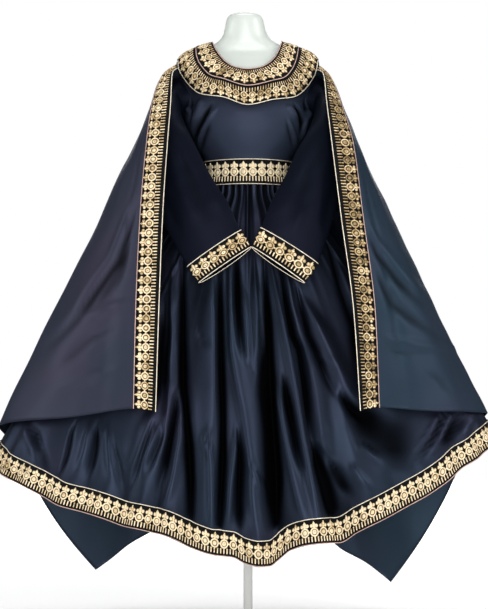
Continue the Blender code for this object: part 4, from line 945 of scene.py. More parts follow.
def piping_material(name, colour):
    """Metallic cord with its slanting twist."""
    material, tree, shader, where = new_material(name)
    twist = lines(tree, where, "DIAGONAL", scale=160.0, distortion=0.4)
    worn = mottling(tree, where, scale=120.0, detail=3.0)
    tone = weighed(tree, twist, weight=0.35, base=worn)
    finish_off(tree, shader, {
        "Base Color": shades(tree, tone, (
            (0.30, times(colour, 0.45)), (0.60, colour), (0.95, times(colour, 1.35)))),
        "Normal": relief(tree, twist, strength=0.6, distance=0.0005),
    }, {"Metallic": 0.30, "Roughness": 0.40})
    return material


def plastic_material(name, colour, roughness, coat):
    """Smooth white moulded or painted surface with faint mottling."""
    material, tree, shader, where = new_material(name)
    patches = mottling(tree, where, scale=9.0, detail=3.0)
    grain = mottling(tree, where, scale=320.0, detail=2.0)
    finish_off(tree, shader, {
        "Base Color": shades(tree, patches, (
            (0.3, times(colour, 0.97)), (0.7, times(colour, 1.02)))),
        "Normal": relief(tree, grain, strength=0.05, distance=0.0003),
    }, {"Roughness": roughness, "Coat Weight": coat, "Coat Roughness": 0.30})
    return material


# each finish: the slot it belongs to, how it is made, the name of its colour, how much darker than
# that colour it is (painted shade on the skirt and bodice), and its maker's other settings
FINISHES = {
    "skirt_satin": ("satin_navy", satin_material, "satin", 0.86, (0.78,)),
    "bodice_satin": ("satin_navy", satin_material, "satin", 0.92, (0.30,)),
    "sleeve_satin": ("satin_navy", satin_material, "sleeves", 1.0, (0.50,)),
    "cape_satin": ("satin_navy", satin_material, "cape_left", 1.0, (0.30, "cape_right")),
    "black_ground": ("embroidered_band", ground_material, "ground", 1.0, ()),
    "gold_thread": ("embroidered_band", thread_material, "thread", 1.0, ()),
    "gold_cord": ("gold_piping", piping_material, "piping", 1.0, ()),
    "copper_cord": ("gold_piping", piping_material, "copper", 1.0, ()),
    "white_form": ("form_white", plastic_material, "form", 1.0, (0.34, 0.20)),
    "white_stand": ("stand_white", plastic_material, "stand", 1.0, (0.38, 0.10)),
}


def finish_material(finish):
    """One of the dress's materials, made on first use from the scene's colours."""
    found = bpy.data.materials.get(finish)
    if found:
        return found
    _, maker, colour, shade, settings = FINISHES[finish]
    chosen = getattr(bpy.context.scene.dress_colours, colour)
    return maker(finish, times(chosen, shade), *settings)


def new_piece(name, vertices, faces, uv, finish, replaced=()):
    """New smooth-shaded piece that rides on the part, with its finish."""
    mesh = bpy.data.meshes.new(name)
    vertices = np.asarray(vertices, np.float32)
    faces = [np.asarray(group, np.int32) for group in faces]
    loops = np.concatenate([group.ravel() for group in faces])
    sizes = np.concatenate([np.full(len(group), group.shape[1]) for group in faces])
    mesh.vertices.add(len(vertices))
    mesh.vertices.foreach_set("co", vertices.ravel())
    mesh.loops.add(len(loops))
    mesh.loops.foreach_set("vertex_index", loops)
    mesh.polygons.add(len(sizes))
    starts = np.concatenate(((0,), np.cumsum(sizes)[:-1])).astype(np.int32)
    mesh.polygons.foreach_set("loop_start", starts)
    layer = mesh.uv_layers.new(name="cloth")
    mesh.update(calc_edges=True)
    coordinates = np.concatenate([np.asarray(group, np.float32).reshape(-1, 2) for group in uv])
    layer.data.foreach_set("uv", coordinates.ravel())
    mesh.shade_smooth()
    mesh.materials.append(finish_material(finish))
    piece = bpy.data.objects.new(name, mesh)
    bpy.context.scene.collection.objects.link(piece)
    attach(piece, BODY)
    if replaced:
        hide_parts(*replaced)
    return piece


def give_points(piece, label, values):
    """A value for each point of a piece, which its finish reads under this label."""
    attribute = piece.data.attributes.new(label, "FLOAT", "POINT")
    attribute.data.foreach_set("value", values.astype(np.float32))


def grid_faces(rows, columns, closed=False, flip=False):
    """Quads of a grid of vertices, and the row and column of each corner."""
    steps = columns if closed else columns - 1
    r, c = np.meshgrid(np.arange(rows - 1), np.arange(steps), indexing="ij")
    corner_rows = np.stack((r, r, r + 1, r + 1), axis=-1).reshape(-1, 4)
    corner_columns = np.stack((c, c + 1, c + 1, c), axis=-1).reshape(-1, 4)
    if flip:
        corner_rows, corner_columns = corner_rows[:, ::-1], corner_columns[:, ::-1]
    faces = corner_rows * columns + corner_columns % columns
    return faces, corner_rows, corner_columns


def rim_faces(outer, inner):
    """Quads between two matching rows of vertex numbers."""
    return np.stack((outer[:-1], inner[:-1], inner[1:], outer[1:]), axis=-1)


def shell(name, grid, normals, thickness, finish, node, closed=False):
    """Thin closed shell of cloth about a grid of points, in place of a node of the part."""
    rows, columns = grid.shape[:2]
    across = np.cross(np.diff(grid[:2, :2], axis=1)[0, 0], np.diff(grid[:2, :2], axis=0)[0, 0])
    turned = across.dot(normals[0, 0]) > 0
    vertices = np.concatenate((
        (grid + normals * thickness / 2).reshape(-1, 3),
        (grid - normals * thickness / 2).reshape(-1, 3),
    ))
    count = rows * columns
    outer, corner_rows, corner_columns = grid_faces(rows, columns, closed, turned)
    inner = outer[:, ::-1] + count
    middle = grid[rows // 2]
    run = arc(np.concatenate((middle, middle[:1])) if closed else middle)
    fall = arc(grid[:, columns // 2])
    outer_uv = np.stack((run[corner_columns], fall[corner_rows]), axis=-1)
    inner_uv = outer_uv[:, ::-1]
    numbers = np.arange(count).reshape(rows, columns)
    top, bottom = numbers[0], numbers[-1]
    if closed:
        top, bottom = np.append(top, top[0]), np.append(bottom, bottom[0])
        edges = (top, bottom[::-1])
    else:
        edges = (top, bottom[::-1], numbers[::-1, 0], numbers[:, -1])
    rim = np.concatenate([rim_faces(edge, edge + count) for edge in edges])
    if not turned:
        rim = rim[:, ::-1]
    place = np.tile(np.stack((run[:columns][np.arange(count) % columns],
                              fall[np.arange(count) // columns]), axis=-1), (2, 1))
    return new_piece(name, vertices, (outer, inner, rim), (outer_uv, inner_uv, place[rim]),
                     finish, (node,))


def satin_panel(node, grid, normals, hollow, sizes, finish, closed=False):
    """Satin panel in place of its solid, carrying the shade painted in its hollows."""
    panel = shell(node + "_satin", grid, normals, sizes.satin_wall, finish, node, closed)
    # each point carries its share of painted shade, on both faces
    give_points(panel, "hollow", np.tile(hollow.ravel(), 2))
    return panel


def headings(points, closed):
    """Unit directions along a row of points."""
    if closed:
        heading = np.roll(points, -1, axis=0) - np.roll(points, 1, axis=0)
    else:
        heading = np.gradient(points, axis=0)
    return heading / np.linalg.norm(heading, axis=1, keepdims=True)


def tube(name, points, radius, finish, node=None, closed=False, sides=PIPING_SIDES):
    """Round cord through points, with flat ends unless it is closed."""
    points = np.asarray(points, float)
    count = len(points)
    heading = headings(points, closed)
    side = np.cross(heading, np.array(ASIDE))
    side /= np.linalg.norm(side, axis=1, keepdims=True)
    up = np.cross(side, heading)
    turn = 2 * math.pi * np.arange(sides) / sides
    ring = np.cos(turn)[None, :, None] * side[:, None] + np.sin(turn)[None, :, None] * up[:, None]
    vertices = (points[:, None] + radius * ring).reshape(-1, 3)
    steps = count if closed else count - 1
    i, k = np.meshgrid(np.arange(steps), np.arange(sides), indexing="ij")
    lengthwise = np.stack((i, i, i + 1, i + 1), axis=-1).reshape(-1, 4)
    around = np.stack((k, k + 1, k + 1, k), axis=-1).reshape(-1, 4)
    faces = (lengthwise % count) * sides + around % sides
    run = arc(np.concatenate((points, points[:1])))
    uv = np.stack((run[lengthwise], around * (2 * math.pi * radius / sides)), axis=-1)
    groups, maps = [faces], [uv]
    if not closed:
        first = np.arange(sides)[None, ::-1]
        last = (count - 1) * sides + np.arange(sides)[None, :]
        groups.append(np.concatenate((first, last)))
        maps.append(np.zeros((2, sides, 2)))
    return new_piece(name, vertices, groups, maps, finish, (node,) if node else ())


def make_strip(points, normals, closed=False):
    """A band's surface: rows from the scalloped edge to the comb edge, columns along it."""
    if closed:
        points = np.concatenate((points, points[:, :1]), axis=1)
        normals = np.concatenate((normals, normals[:, :1]), axis=1)
    run = arc(points[len(points) // 2])
    return {"points": points, "normals": normals, "run": run, "closed": closed}


def on_strip(strip, u, v, height):
    """Points of a strip at a length u along it, a share v across it and a height over it."""
    points, normals, run = strip["points"], strip["normals"], strip["run"]
    if strip["closed"]:
        u = np.mod(u, run[-1])
    place = np.interp(u, run, np.arange(len(run)))
    c = np.clip(place.astype(int), 0, len(run) - 2)
    part_c = (place - c)[..., None]
    deep = np.clip(v, 0.0, 1.0) * (len(points) - 1)
    r = np.clip(deep.astype(int), 0, len(points) - 2)
    part_r = (deep - r)[..., None]

    def mixed(grid):
        upper = grid[r, c] * (1 - part_c) + grid[r, c + 1] * part_c
        lower = grid[r + 1, c] * (1 - part_c) + grid[r + 1, c + 1] * part_c
        return upper * (1 - part_r) + lower * part_r

    direction = mixed(normals)
    direction /= np.linalg.norm(direction, axis=-1, keepdims=True)
    return mixed(points) + direction * height[..., None]


def stitch_mesh(centre, half, height, closed):
    """Padded stitch along centre points: vertices (u, v, height), crest, quads and stitch map."""
    count = len(centre)
    heading = headings(centre, closed)
    side = np.stack((-heading[:, 1], heading[:, 0]), axis=-1)
    across = np.array(STITCH_ACROSS)
    flat = centre[:, None] + side[:, None] * half[:, None, None] * across[None, :, None]
    dome = np.sqrt(1 - across ** 2)[None, :] * height * np.ones((count, 1))
    if not closed:
        dome[[0, -1]] = 0.0
    crest = (dome / height).ravel()
    dome = np.where(dome < 1e-6, STITCH_ROOT, dome)
    vertices = np.concatenate((flat, dome[..., None]), axis=-1).reshape(-1, 3)
    faces, rows, columns = grid_faces(count + (1 if closed else 0), len(across))
    faces = faces % (count * len(across))
    run = arc(np.concatenate((centre, centre[:1])))
    return vertices, crest, faces, np.stack((run[rows], columns.astype(float)), axis=-1)


def dot_mesh(u, v, radius, height):
    """Padded round dot: vertices, crest, quads and stitch map."""
    sides = BEAD_SIDES if radius < MOTIF_BEAD else DOT_SIDES
    turn = 2 * math.pi * np.arange(sides) / sides
    rings = [(1.0, STITCH_ROOT)] + [(share, top * height) for share, top in DOT_RINGS]
    vertices = [
        np.stack((u + radius * share * np.cos(turn), v + radius * share * np.sin(turn),
                  np.full(sides, top)), axis=-1)
        for share, top in rings
    ]
    faces, rows, columns = grid_faces(len(rings), sides, closed=True)
    crest = np.repeat([max(top, 0.0) / height for _, top in rings], sides)
    stitch = 2 * math.pi * radius * DOT_MAP / sides
    uv = np.stack((columns * stitch, rows.astype(float)), axis=-1)
    return np.concatenate(vertices), crest, faces, uv


def motif_mesh(full):
    """One embroidered unit of that full height: flower, circle, button, link and beaded comb."""
    parts = []
    for points, widths, share in MOTIF_STROKES:
        place = np.linspace(0.0, 1.0, 4 + 2 * len(points))
        half = along(np.array(widths)[:, None], place)[:, 0]
        square = 1.0 - np.abs(2 * place - 1.0) ** STITCH_END
        ends = np.sqrt(np.clip(square, STITCH_TIP, 1.0))
        parts.append(stitch_mesh(along(points, place), half * ends, full * share, False))
    u, v, radius, half, share = MOTIF_RING
    turn = 2 * math.pi * np.arange(RING_STEPS) / RING_STEPS
    centre = np.stack((u + radius * np.cos(turn), v + radius * np.sin(turn)), axis=-1)
    parts.append(stitch_mesh(centre, np.full(RING_STEPS, half), full * share, True))
    for u, v, radius, share in MOTIF_DOTS:
        parts.append(dot_mesh(u, v, radius, full * share))
    points, crests, quads, maps = zip(*parts)
    counts = [len(group) for group in points]
    starts = np.cumsum([0] + counts[:-1])
    faces = [group + start for group, start in zip(quads, starts)]
    numbers = np.repeat(np.arange(len(parts)), counts)
    return tuple(np.concatenate(group) for group in (points, crests, faces, maps)) + (numbers,)


def embroider(name, strip, sizes, seed, painted_light, shift, pitch):
    """Raised gold embroidery along a whole strip."""
    total = strip["run"][-1]
    count = max(1, round(total / (pitch or sizes.motif_pitch)))
    step = total / count
    points, crest, faces, uv, numbers = motif_mesh(sizes.stitch_height * TO_MM)
    chance = np.random.default_rng(seed)
    vertices, tones = [], []
    for i in range(count):
        bend = 1.0 + HEIGHT_CHANGE * chance.standard_normal()
        u = (i + 0.5) * step + points[:, 0] / MOTIF_PITCH * step
        v = (points[:, 1] + shift) / MOTIF_WIDTH
        if not strip["closed"]:
            u = np.clip(u, BAND_END, total - BAND_END)
        height = points[:, 2] * bend / TO_MM + sizes.band_wall / 2
        vertices.append(on_strip(strip, u, v, height))
        tone = chance.uniform(0.0, 1.0, numbers.max() + 1)[numbers]
        # each band's painted light is added to the thread's random tone
        tones.append((1 - UNIT_TONE) * tone + UNIT_TONE * chance.uniform(0.0, 1.0) + painted_light)
    starts = np.arange(count)[:, None, None] * len(points)
    quads = (faces[None] + starts).reshape(-1, 4)
    piece = new_piece(name, np.concatenate(vertices), (quads,),
                      (np.tile(uv / TO_MM, (count, 1, 1)),), "gold_thread")
    # crest: share of a stitch's height, which the thread's colour turns into painted shade at its
    # sides and a painted highlight on its crest
    give_points(piece, "crest", np.tile(crest, count))
    give_points(piece, "tone", np.concatenate(tones))
    return piece


def edge_piping(name, strip, v, finish, sizes, step):
    """Piping along one edge of a strip."""
    total = strip["run"][-1]
    count = max(8, int(total / step))
    u = np.linspace(0.0, total, count, endpoint=not strip["closed"])
    over = sizes.band_wall / 2 + PIPING_OUT
    points = on_strip(strip, u, np.full(count, v), np.full(count, over))
    return tube(name, points, sizes.piping_radius, finish, closed=strip["closed"])


def laid_band(node, grid, normals, sizes, pipings=(), step=PIPING_STEP,
              closed=False):
    """Embroidered band in place of its solid: black ground, gold thread and piped edges."""
    strip = make_strip(grid, normals, closed)
    ground = shell(node + "_ground", grid, normals, sizes.band_wall, "black_ground", node, closed)
    label = node.replace("_band", "")
    extras = [embroider(label + "_embroidery", strip, sizes, *STITCHING[node])]
    for ending, v, finish in pipings:
        extras.append(edge_piping(f"{label}_{ending}", strip, v, finish, sizes, step))


def turned_solid(name, profile, sides, finish, node, lean=UPRIGHT):
    """Solid of rings of a height, half width and half depth, moved sideways by its lean."""
    turn = 2 * math.pi * np.arange(sides) / sides
    rings = np.array([
        np.stack((width * np.sin(turn), -depth * np.cos(turn), np.full(sides, height)), axis=-1)
        for height, width, depth in profile
    ])
    rings[..., 0] += column(lean, 1, rings[..., 2])
    faces, rows, columns = grid_faces(len(profile), sides, closed=True)
    run = arc(rings[:, 0])
    uv = np.stack((columns * (2 * math.pi * MAP_RADIUS / sides), run[rows]), axis=-1)
    caps = np.stack((np.arange(sides)[::-1], (len(profile) - 1) * sides + np.arange(sides)))
    return new_piece(name, rings.reshape(-1, 3), (faces, caps),
                     (uv, np.zeros((2, sides, 2))), finish, (node,))


class DRESS_OT_form(bpy.types.Operator):
    """Build the limbless dress form, its pole and its base"""

    bl_idname = "dress.form"
    bl_label = "Dress form"

    def execute(self, context):
        heights = np.linspace(FORM[0][0], FORM[-1][0], FORM_ROWS)
        profile = list(zip(heights, column(FORM, 1, heights), column(FORM, 2, heights)))
        turned_solid("dress_form", profile + list(FORM_CAP), FORM_SIDES, "white_form",
                     "form_body", NECK_LEAN)
        top = FORM[0][0] - SEAM_GAP
        pole = [(BASE_THICKNESS + BASE_SOCKET + SEAM_GAP, POLE_RADIUS)]
        pole += [(top - below, radius) for below, radius in POLE_TOP]
        turned_solid("stand_pole", [(z, r, r) for z, r in pole], POLE_SIDES, "white_stand",
                     "form_pole")
        turned_solid("stand_base", [(z, r, r) for z, r in BASE], BASE_SIDES, "white_stand",
                     "form_base")
        return {"FINISHED"}


def armhole_half_depth(height):
    """Half depth of the armhole at heights; nothing at the underarm and the shoulder tip."""
    share = (height - UNDERARM_HEIGHT) / (SHOULDER_TIP_HEIGHT - UNDERARM_HEIGHT)
    return ARMHOLE_HALF_DEPTH * np.sin(math.pi * np.clip(share, 0.0, 1.0))


def bodice_half(height, lift):
    """Half width and half depth of the loose bodice at heights."""
    width, depth = form_half(height, lift)
    return width + column(BODICE_EASE, 1, height), depth + column(BODICE_EASE, 2, height)


def bodice_side_turn(height):
    """Angle from the centre to a bodice panel's side edge: the side seam or the armhole."""
    depth = bodice_half(height, BODICE_LIFT)[1]
    return np.minimum(np.arccos(armhole_half_depth(height) / depth), math.pi / 2 - SIDE_SEAM_TURN)


def bodice_grid(side, edge):
    """Middle surface of a bodice panel."""
    low = WAIST_HEIGHT + WAIST_SEAM
    across = np.linspace(-1.0, 1.0, BODICE_COLUMNS)
    top = np.full(BODICE_COLUMNS, float(column(edge, 1, np.array(0.0))))
    for _ in range(TOP_PASSES):
        x = bodice_half(top, BODICE_LIFT)[0] * np.sin(across * bodice_side_turn(top))
        wanted = np.minimum(column(edge, 1, x) + BODICE_LAP, SHOULDER_TIP_HEIGHT - BODICE_LAP / 2)
        top = (top + wanted) / 2
    upper = BODICE_ROWS // 2
    share = np.linspace(0.0, 1.0, upper, endpoint=False)[:, None]
    lower = np.linspace(UNDERARM_HEIGHT, low, BODICE_ROWS - upper)[:, None]
    heights = np.concatenate((top + (UNDERARM_HEIGHT - top) * share, lower * np.ones(len(top))))
    turn = across * bodice_side_turn(heights)
    near_top = (heights - low) / (top - low)
    rise = BODICE_TOP_RISE * near_top ** TOP_RISE_UP * np.cos(turn) ** TOP_RISE_ACROSS
    width, depth = bodice_half(heights, BODICE_LIFT)
    width, depth = width + rise, depth + rise
    return np.stack((width * np.sin(turn), side * depth * np.cos(turn), heights), axis=-1)


class DRESS_OT_bodice(bpy.types.Operator):
    """Build the front and back bodice panels with their creases"""

    bl_idname = "dress.bodice"
    bl_label = "Bodice"

    def execute(self, context):
        sizes = context.scene.dress_sizes
        for name, side, edge in (("front", -1, COLLAR_EDGE), ("back", 1, COLLAR_BACK_EDGE)):
            grid = bodice_grid(side, edge)
            normals = facing_out(grid, False)
            height, collar = grid[..., 2], column(edge, 1, grid[..., 0])
            across = np.abs(np.linspace(-1.0, 1.0, BODICE_COLUMNS))
            hold = ramp(height, *BODICE_FREE) * ramp(height, collar, collar - BODICE_UNDER_COLLAR)
            hold *= ramp(across, 1.0, 1.0 - ARMHOLE_HOLD)
            moved, hollow = creased(grid, normals, BODICE_CREASES, 0.0, BODICE_HOLLOW)
            moved = uneven(moved, normals, *BODICE_UNEVEN, 1.3 + side)
            grid = part_way(grid, moved, hold)
            height, collar = grid[..., 2], column(edge, 1, grid[..., 0])
            shade = COLLAR_SHADE_DEPTH * ramp(height, collar - COLLAR_SHADE, collar) ** SHADE_POWER
            satin_panel(f"bodice_{name}", grid, facing_out(grid, False),
                        np.maximum(hollow * hold, shade), sizes, "bodice_satin")
        return {"FINISHED"}


def collar_line(inside, outside, share, lift):
    """Ring of points on the form at a share of the way between two pairs of outlines."""
    place = np.arange(COLLAR_COLUMNS) / COLLAR_COLUMNS
    ring = []
    for outline, other, way, side in (
        (inside[0], outside[0], place, -1), (inside[1], outside[1], 1 - place, 1),
    ):
        a, b = along(outline, way), along(other, way)
        flat = a + (b - a) * share
        x, height = flat[:, 0], flat[:, 1].copy()
        height[0] = max(height[0], ridge_height(x[0], lift))
        ring.append(on_form(x, height, lift, side))
    return np.concatenate(ring)


def round_the_ridge(ring, passes=2, reach=3):
    """The ring with its sharp turns at the two shoulder ridges eased."""
    for _ in range(passes):
        eased = (np.roll(ring, 1, axis=0) + 2 * ring + np.roll(ring, -1, axis=0)) / 4
        for middle in (0, len(ring) // 2):
            near = [(middle + k) % len(ring) for k in range(-reach, reach + 1)]
            ring[near] = eased[near]
    return ring


class DRESS_OT_collar(bpy.types.Operator):
    """Build the two embroidered rings of the collar and their gold and copper cords"""

    bl_idname = "dress.collar"
    bl_label = "Collar"

    def execute(self, context):
        sizes = context.scene.dress_sizes
        neck = (COLLAR_NECK, COLLAR_BACK_NECK)
        middle = (COLLAR_MIDDLE, COLLAR_BACK_MIDDLE)
        edge = (COLLAR_EDGE, COLLAR_BACK_EDGE)
        shares = np.linspace(1 - COLLAR_SEAM, COLLAR_SEAM, COLLAR_ROWS)
        for name, inside, outside in (("inner", neck, middle), ("outer", middle, edge)):
            grid = np.array([collar_line(inside, outside, s, COLLAR_LIFT) for s in shares])
            laid_band(f"collar_{name}", grid, facing_out(grid, True), sizes,
                      closed=True)
        lift = COLLAR_LIFT + sizes.band_wall / 2 + sizes.cord_radius
        for name, inside, outside, share, finish in (
            ("neck", neck, middle, CORD_INSET, "copper_cord"),
            ("middle", middle, edge, 0.0, "copper_cord"),
            ("edge", middle, edge, 1 - CORD_INSET, "gold_cord"),
        ):
            ring = round_the_ridge(collar_line(inside, outside, share, lift))
            tube(f"collar_cord_{name}_gold", ring, sizes.cord_radius, finish,
                 f"collar_cord_{name}", closed=True, sides=CORD_SIDES)
        return {"FINISHED"}


def waving(turn, even, *waves):
    """A value that changes round the body, by waves of a height, a number and a phase."""
    return even + sum(height * np.sin(turn * count + phase) for height, count, phase in waves)


def skirt_grid(side):
    """Middle surface of a skirt panel, and the shade painted on each of its points."""
    front = side == "front"
    folds, hem = (FRONT_FOLDS, HEM_FRONT) if front else (BACK_FOLDS, HEM_BACK)
    middle = 0.0 if front else math.pi
    columns = COLUMNS_PER_FOLD * len(folds)
    degrees = np.linspace(-90.0, 90.0, columns)
    turn = middle + np.radians(degrees)
    turn[0] += SKIRT_SEAM_TURN
    turn[-1] -= SKIRT_SEAM_TURN
    out = np.sin(turn)
    hem_x = np.where(out < 0, abs(hem[0][0]), hem[-1][0]) * out
    hem_z = column(hem, 1, hem_x)

    def middle_surface(share):
        outward = column(SKIRT_PROFILE, 1, share)
        depth = column(SKIRT_PROFILE, 2 if front else 3, share)
        x = WAIST_HALF_WIDTH * out * (1 - outward) + hem_x * outward
        z = WAIST_HEIGHT - WAIST_SEAM + (hem_z - WAIST_HEIGHT) * share
        return np.stack((x, -depth * np.cos(turn), z), axis=-1)

    ends = middle_surface(np.array([np.zeros(columns), np.ones(columns)]))
    band = HEM_BAND_HEIGHT / np.linalg.norm(ends[1] - ends[0], axis=1)
    upper = np.linspace(0.0, 1.0, SKIRT_ROWS[side] - BAND_ROWS, endpoint=False)[:, None]
    lower = 1 - band + band * np.linspace(0.0, 1.0, BAND_ROWS)[:, None]
    share = np.concatenate((upper ** SKIRT_ROW_SPREAD * (1 - band), lower))
    base = middle_surface(share)
    outward = facing_out(base, False)
    outward[:, (0, -1), 1] = 0.0

    # folds grow towards the hem, and gathers run out below the waist
    sides = ramp(np.abs(degrees), SIDE_FOLD_ANGLE, 2 * SIDE_FOLD_ANGLE)
    fold = column(folds, 1, np.broadcast_to(degrees, share.shape)) * (1 - SIDE_FOLD_EASE * sides)
    shown = share ** (FOLD_GROWTH + (SIDE_FOLD_GROWTH - FOLD_GROWTH) * sides)
    # they differ in spacing, strength and length
    wander, strong, long = (
        waving(turn, *waves) for waves in (GATHER_WANDER, GATHER_STRENGTH, GATHER_LENGTH))
    gather = -np.cos(GATHERS * (turn - middle + math.pi / 2) + wander)
    fading = np.exp(-(share / (GATHER_REACH * long)) ** GATHER_RUN_OUT)
    crest = GATHER_HEIGHT * ramp(share, *GATHER_FREE)
    far = np.where(gather > 0.0, crest, GATHER_DEPTH)
    lift = fold * shown + far * gather * strong * fading
    grid = base + outward * lift[..., None]

    # creases lie over them, and shade is painted on the cloth in the hollows of all three
    held = ramp(share, 0.0, SKIRT_HELD)
    x, z = grid[..., 0], grid[..., 2]
    changing = math.prod(np.sin(a * x + b * z + phase) for a, b, phase in HOLLOW_WAVES)
    start = HOLLOW_START + HOLLOW_CHANGE * changing
    creases = SKIRT_FRONT_CREASES if front else SKIRT_BACK_CREASES
    moved, hollow = creased(grid, outward, creases, start, HOLLOW_DEPTH)
    grid = part_way(grid, moved, held)
    hollow = np.maximum(hollow * held, ramp(fold, 0.0, -FOLD_HOLLOW) * shown)
    hollow = np.maximum(hollow, ramp(gather, *GATHER_HOLLOW) * fading)
    outward *= held[..., None]
    return uneven(grid, outward, *SKIRT_UNEVEN, 0.6 if front else 1.9), hollow


class DRESS_OT_skirt(bpy.types.Operator):
    """Build the gathered skirt panels and the embroidered band round the hem"""

    bl_idname = "dress.skirt"
    bl_label = "Skirt and hem band"

    def execute(self, context):
        sizes = context.scene.dress_sizes
        for side in ("front", "back"):
            grid, hollow = skirt_grid(side)
            normals = facing_out(grid, False)
            normals[:, (0, -1), 1] = 0.0
            panel = satin_panel(f"skirt_{side}", grid, normals, hollow, sizes, "skirt_satin")
            under = normals[-BAND_ROWS:]
            laid_band(f"hem_band_{side}", grid[-BAND_ROWS:] + under * sizes.band_lift, under,
                      sizes, step=HEM_PIPING_STEP,
                      pipings=(("piping", HEM_PIPING_AT, "gold_cord"),
                               ("edge", HEM_CORD_AT, "copper_cord")))
        return {"FINISHED"}


class DRESS_OT_belt(bpy.types.Operator):
    """Build the embroidered belt over the waist seam"""

    bl_idname = "dress.belt"
    bl_label = "Belt"

    def execute(self, context):
        turn = 2 * math.pi * np.arange(BELT_COLUMNS) / BELT_COLUMNS
        heights = np.linspace(BELT[-1][0], BELT[0][0], BAND_ROWS)[:, None]
        width, depth = column(BELT, 1, heights), column(BELT, 2, heights)
        drop = -BELT_DROP * np.sin(turn) ** 2
        grid = np.stack((width * np.sin(turn), -depth * np.cos(turn), heights + drop), axis=-1)
        laid_band("belt", grid, facing_out(grid, True), context.scene.dress_sizes,
                  closed=True,
                  pipings=(("piping_top", 0.0, "gold_cord"), ("piping_bottom", 1.0, "gold_cord")))
        return {"FINISHED"}


def sleeve_grid(table):
    """Middle surface of a sleeve and its centre line."""
    table = np.asarray(table, float)
    rows = len(table)
    place = np.linspace(0.0, rows - 1.0, SLEEVE_STEPS * (rows - 1) + 1)
    fine = smooth(np.arange(rows), table, place)
    inner, outer, depth = fine[:, 0:3], fine[:, 3:6], fine[:, 6]
    centres, half = (inner + outer) / 2, (outer - inner) / 2
    coarse = (table[:, 0:3] + table[:, 3:6]) / 2
    heading = headings(coarse, False)
    side = float(np.sign(coarse[0, 0]))
    heading[0] = (side, 0.0, 0.0)
    heading[1] = (heading[0] + heading[1]) / 2
    heading = smooth(np.arange(rows), heading, place)
    front = np.cross(half, heading)
    front /= np.linalg.norm(front, axis=1, keepdims=True)
    turn = 2 * math.pi * np.arange(SLEEVE_COLUMNS) / SLEEVE_COLUMNS
    sine, cosine = -side * np.sin(turn), np.cos(turn)
    thick = depth[:, None] * sine * (EDGE_FULLNESS + (1 - EDGE_FULLNESS) * np.abs(sine))
    grid = centres[:, None] + half[:, None] * cosine[None, :, None]
    grid = grid + front[:, None] * thick[..., None]
    bow = ARMHOLE_BOW * np.maximum(0.0, 1 - place / 2) ** 2
    grid[..., 0] -= side * bow[:, None] * sine ** 2

    # the first ring lies in the armhole, and the mouth hangs lower behind
    tall = (SHOULDER_TIP_HEIGHT - UNDERARM_HEIGHT) / 2 - ARMHOLE_SEAM
    height = (SHOULDER_TIP_HEIGHT + UNDERARM_HEIGHT) / 2 + cosine * tall
    y = np.maximum(armhole_half_depth(height) - ARMHOLE_SEAM, 0.0) * np.sign(side * sine)
    width, deep = bodice_half(height, BODICE_LIFT)
    ring = np.stack((side * width * np.sqrt(1 - (y / deep) ** 2), y, height), axis=-1)
    grid = part_way(grid, ring[None], ramp(place, 1.0, 0.0)[:, None] ** 1.5)
    behind = np.maximum(0.0, -np.sin(turn))
    last = ramp(place, rows - 2, rows - 1)
    grid += heading[:, None] * (CUFF_TILT * last[:, None] * behind[None, :])[..., None]
    return grid, centres


class DRESS_OT_sleeves(bpy.types.Operator):
    """Build both sleeves with their embroidered cuffs"""

    bl_idname = "dress.sleeves"
    bl_label = "Sleeves and cuffs"

    def execute(self, context):
        sizes = context.scene.dress_sizes
        for side, table, phase in (("left", SLEEVE_LEFT, 31.4), ("right", SLEEVE_RIGHT, 32.4)):
            grid, centres = sleeve_grid(table)
            normals = facing_out(grid, True, centres)
            free = np.clip(np.linspace(*SLEEVE_RISE, len(grid)), 0.0, 1.0)
            free *= np.clip(np.linspace(*SLEEVE_FALL, len(grid)), 0.0, 1.0)
            moved, hollow = creased(grid, normals, SLEEVE_CREASES)
            moved = uneven(moved, normals, *SLEEVE_UNEVEN, phase)
            grid = part_way(grid, moved, free[:, None])
            normals = facing_out(grid, True, centres)
            panel = satin_panel(f"sleeve_{side}", grid, normals, hollow * free[:, None], sizes,
                                "sleeve_satin", closed=True)
            run = arc(centres)
            start = np.searchsorted(run, run[-1] - CUFF_HEIGHT)
            under = normals[start:]
            laid_band(f"cuff_{side}", grid[start:] + under * sizes.band_lift, under, sizes,
                      step=CUFF_PIPING_STEP, closed=True,
                      pipings=(("piping_top", 0.0, "gold_cord"),
                               ("piping_mouth", 1.0, "gold_cord")))
        return {"FINISHED"}


def cape_top(around, side):
    """Points where the cape is sewn on, just outside the collar's edge."""
    around = np.asarray(around, float)
    ahead = CAPE_FRONT_PART * (1 - around / CAPE_RIDGE)
    behind = 0.5 * (around - CAPE_RIDGE) / (1 - CAPE_RIDGE)
    points = []
    for edge, place, sign in ((COLLAR_EDGE, ahead, -1), (COLLAR_BACK_EDGE, behind, 1)):
        flat = along(edge, place if side < 0 else 1 - place)
        x = flat[:, 0] + np.where(around == 1.0, side * CAPE_SEAM, 0.0)
        points.append(on_form(x, flat[:, 1], COLLAR_LIFT, sign))
    return np.where((around < CAPE_RIDGE)[:, None], points[0], points[1])


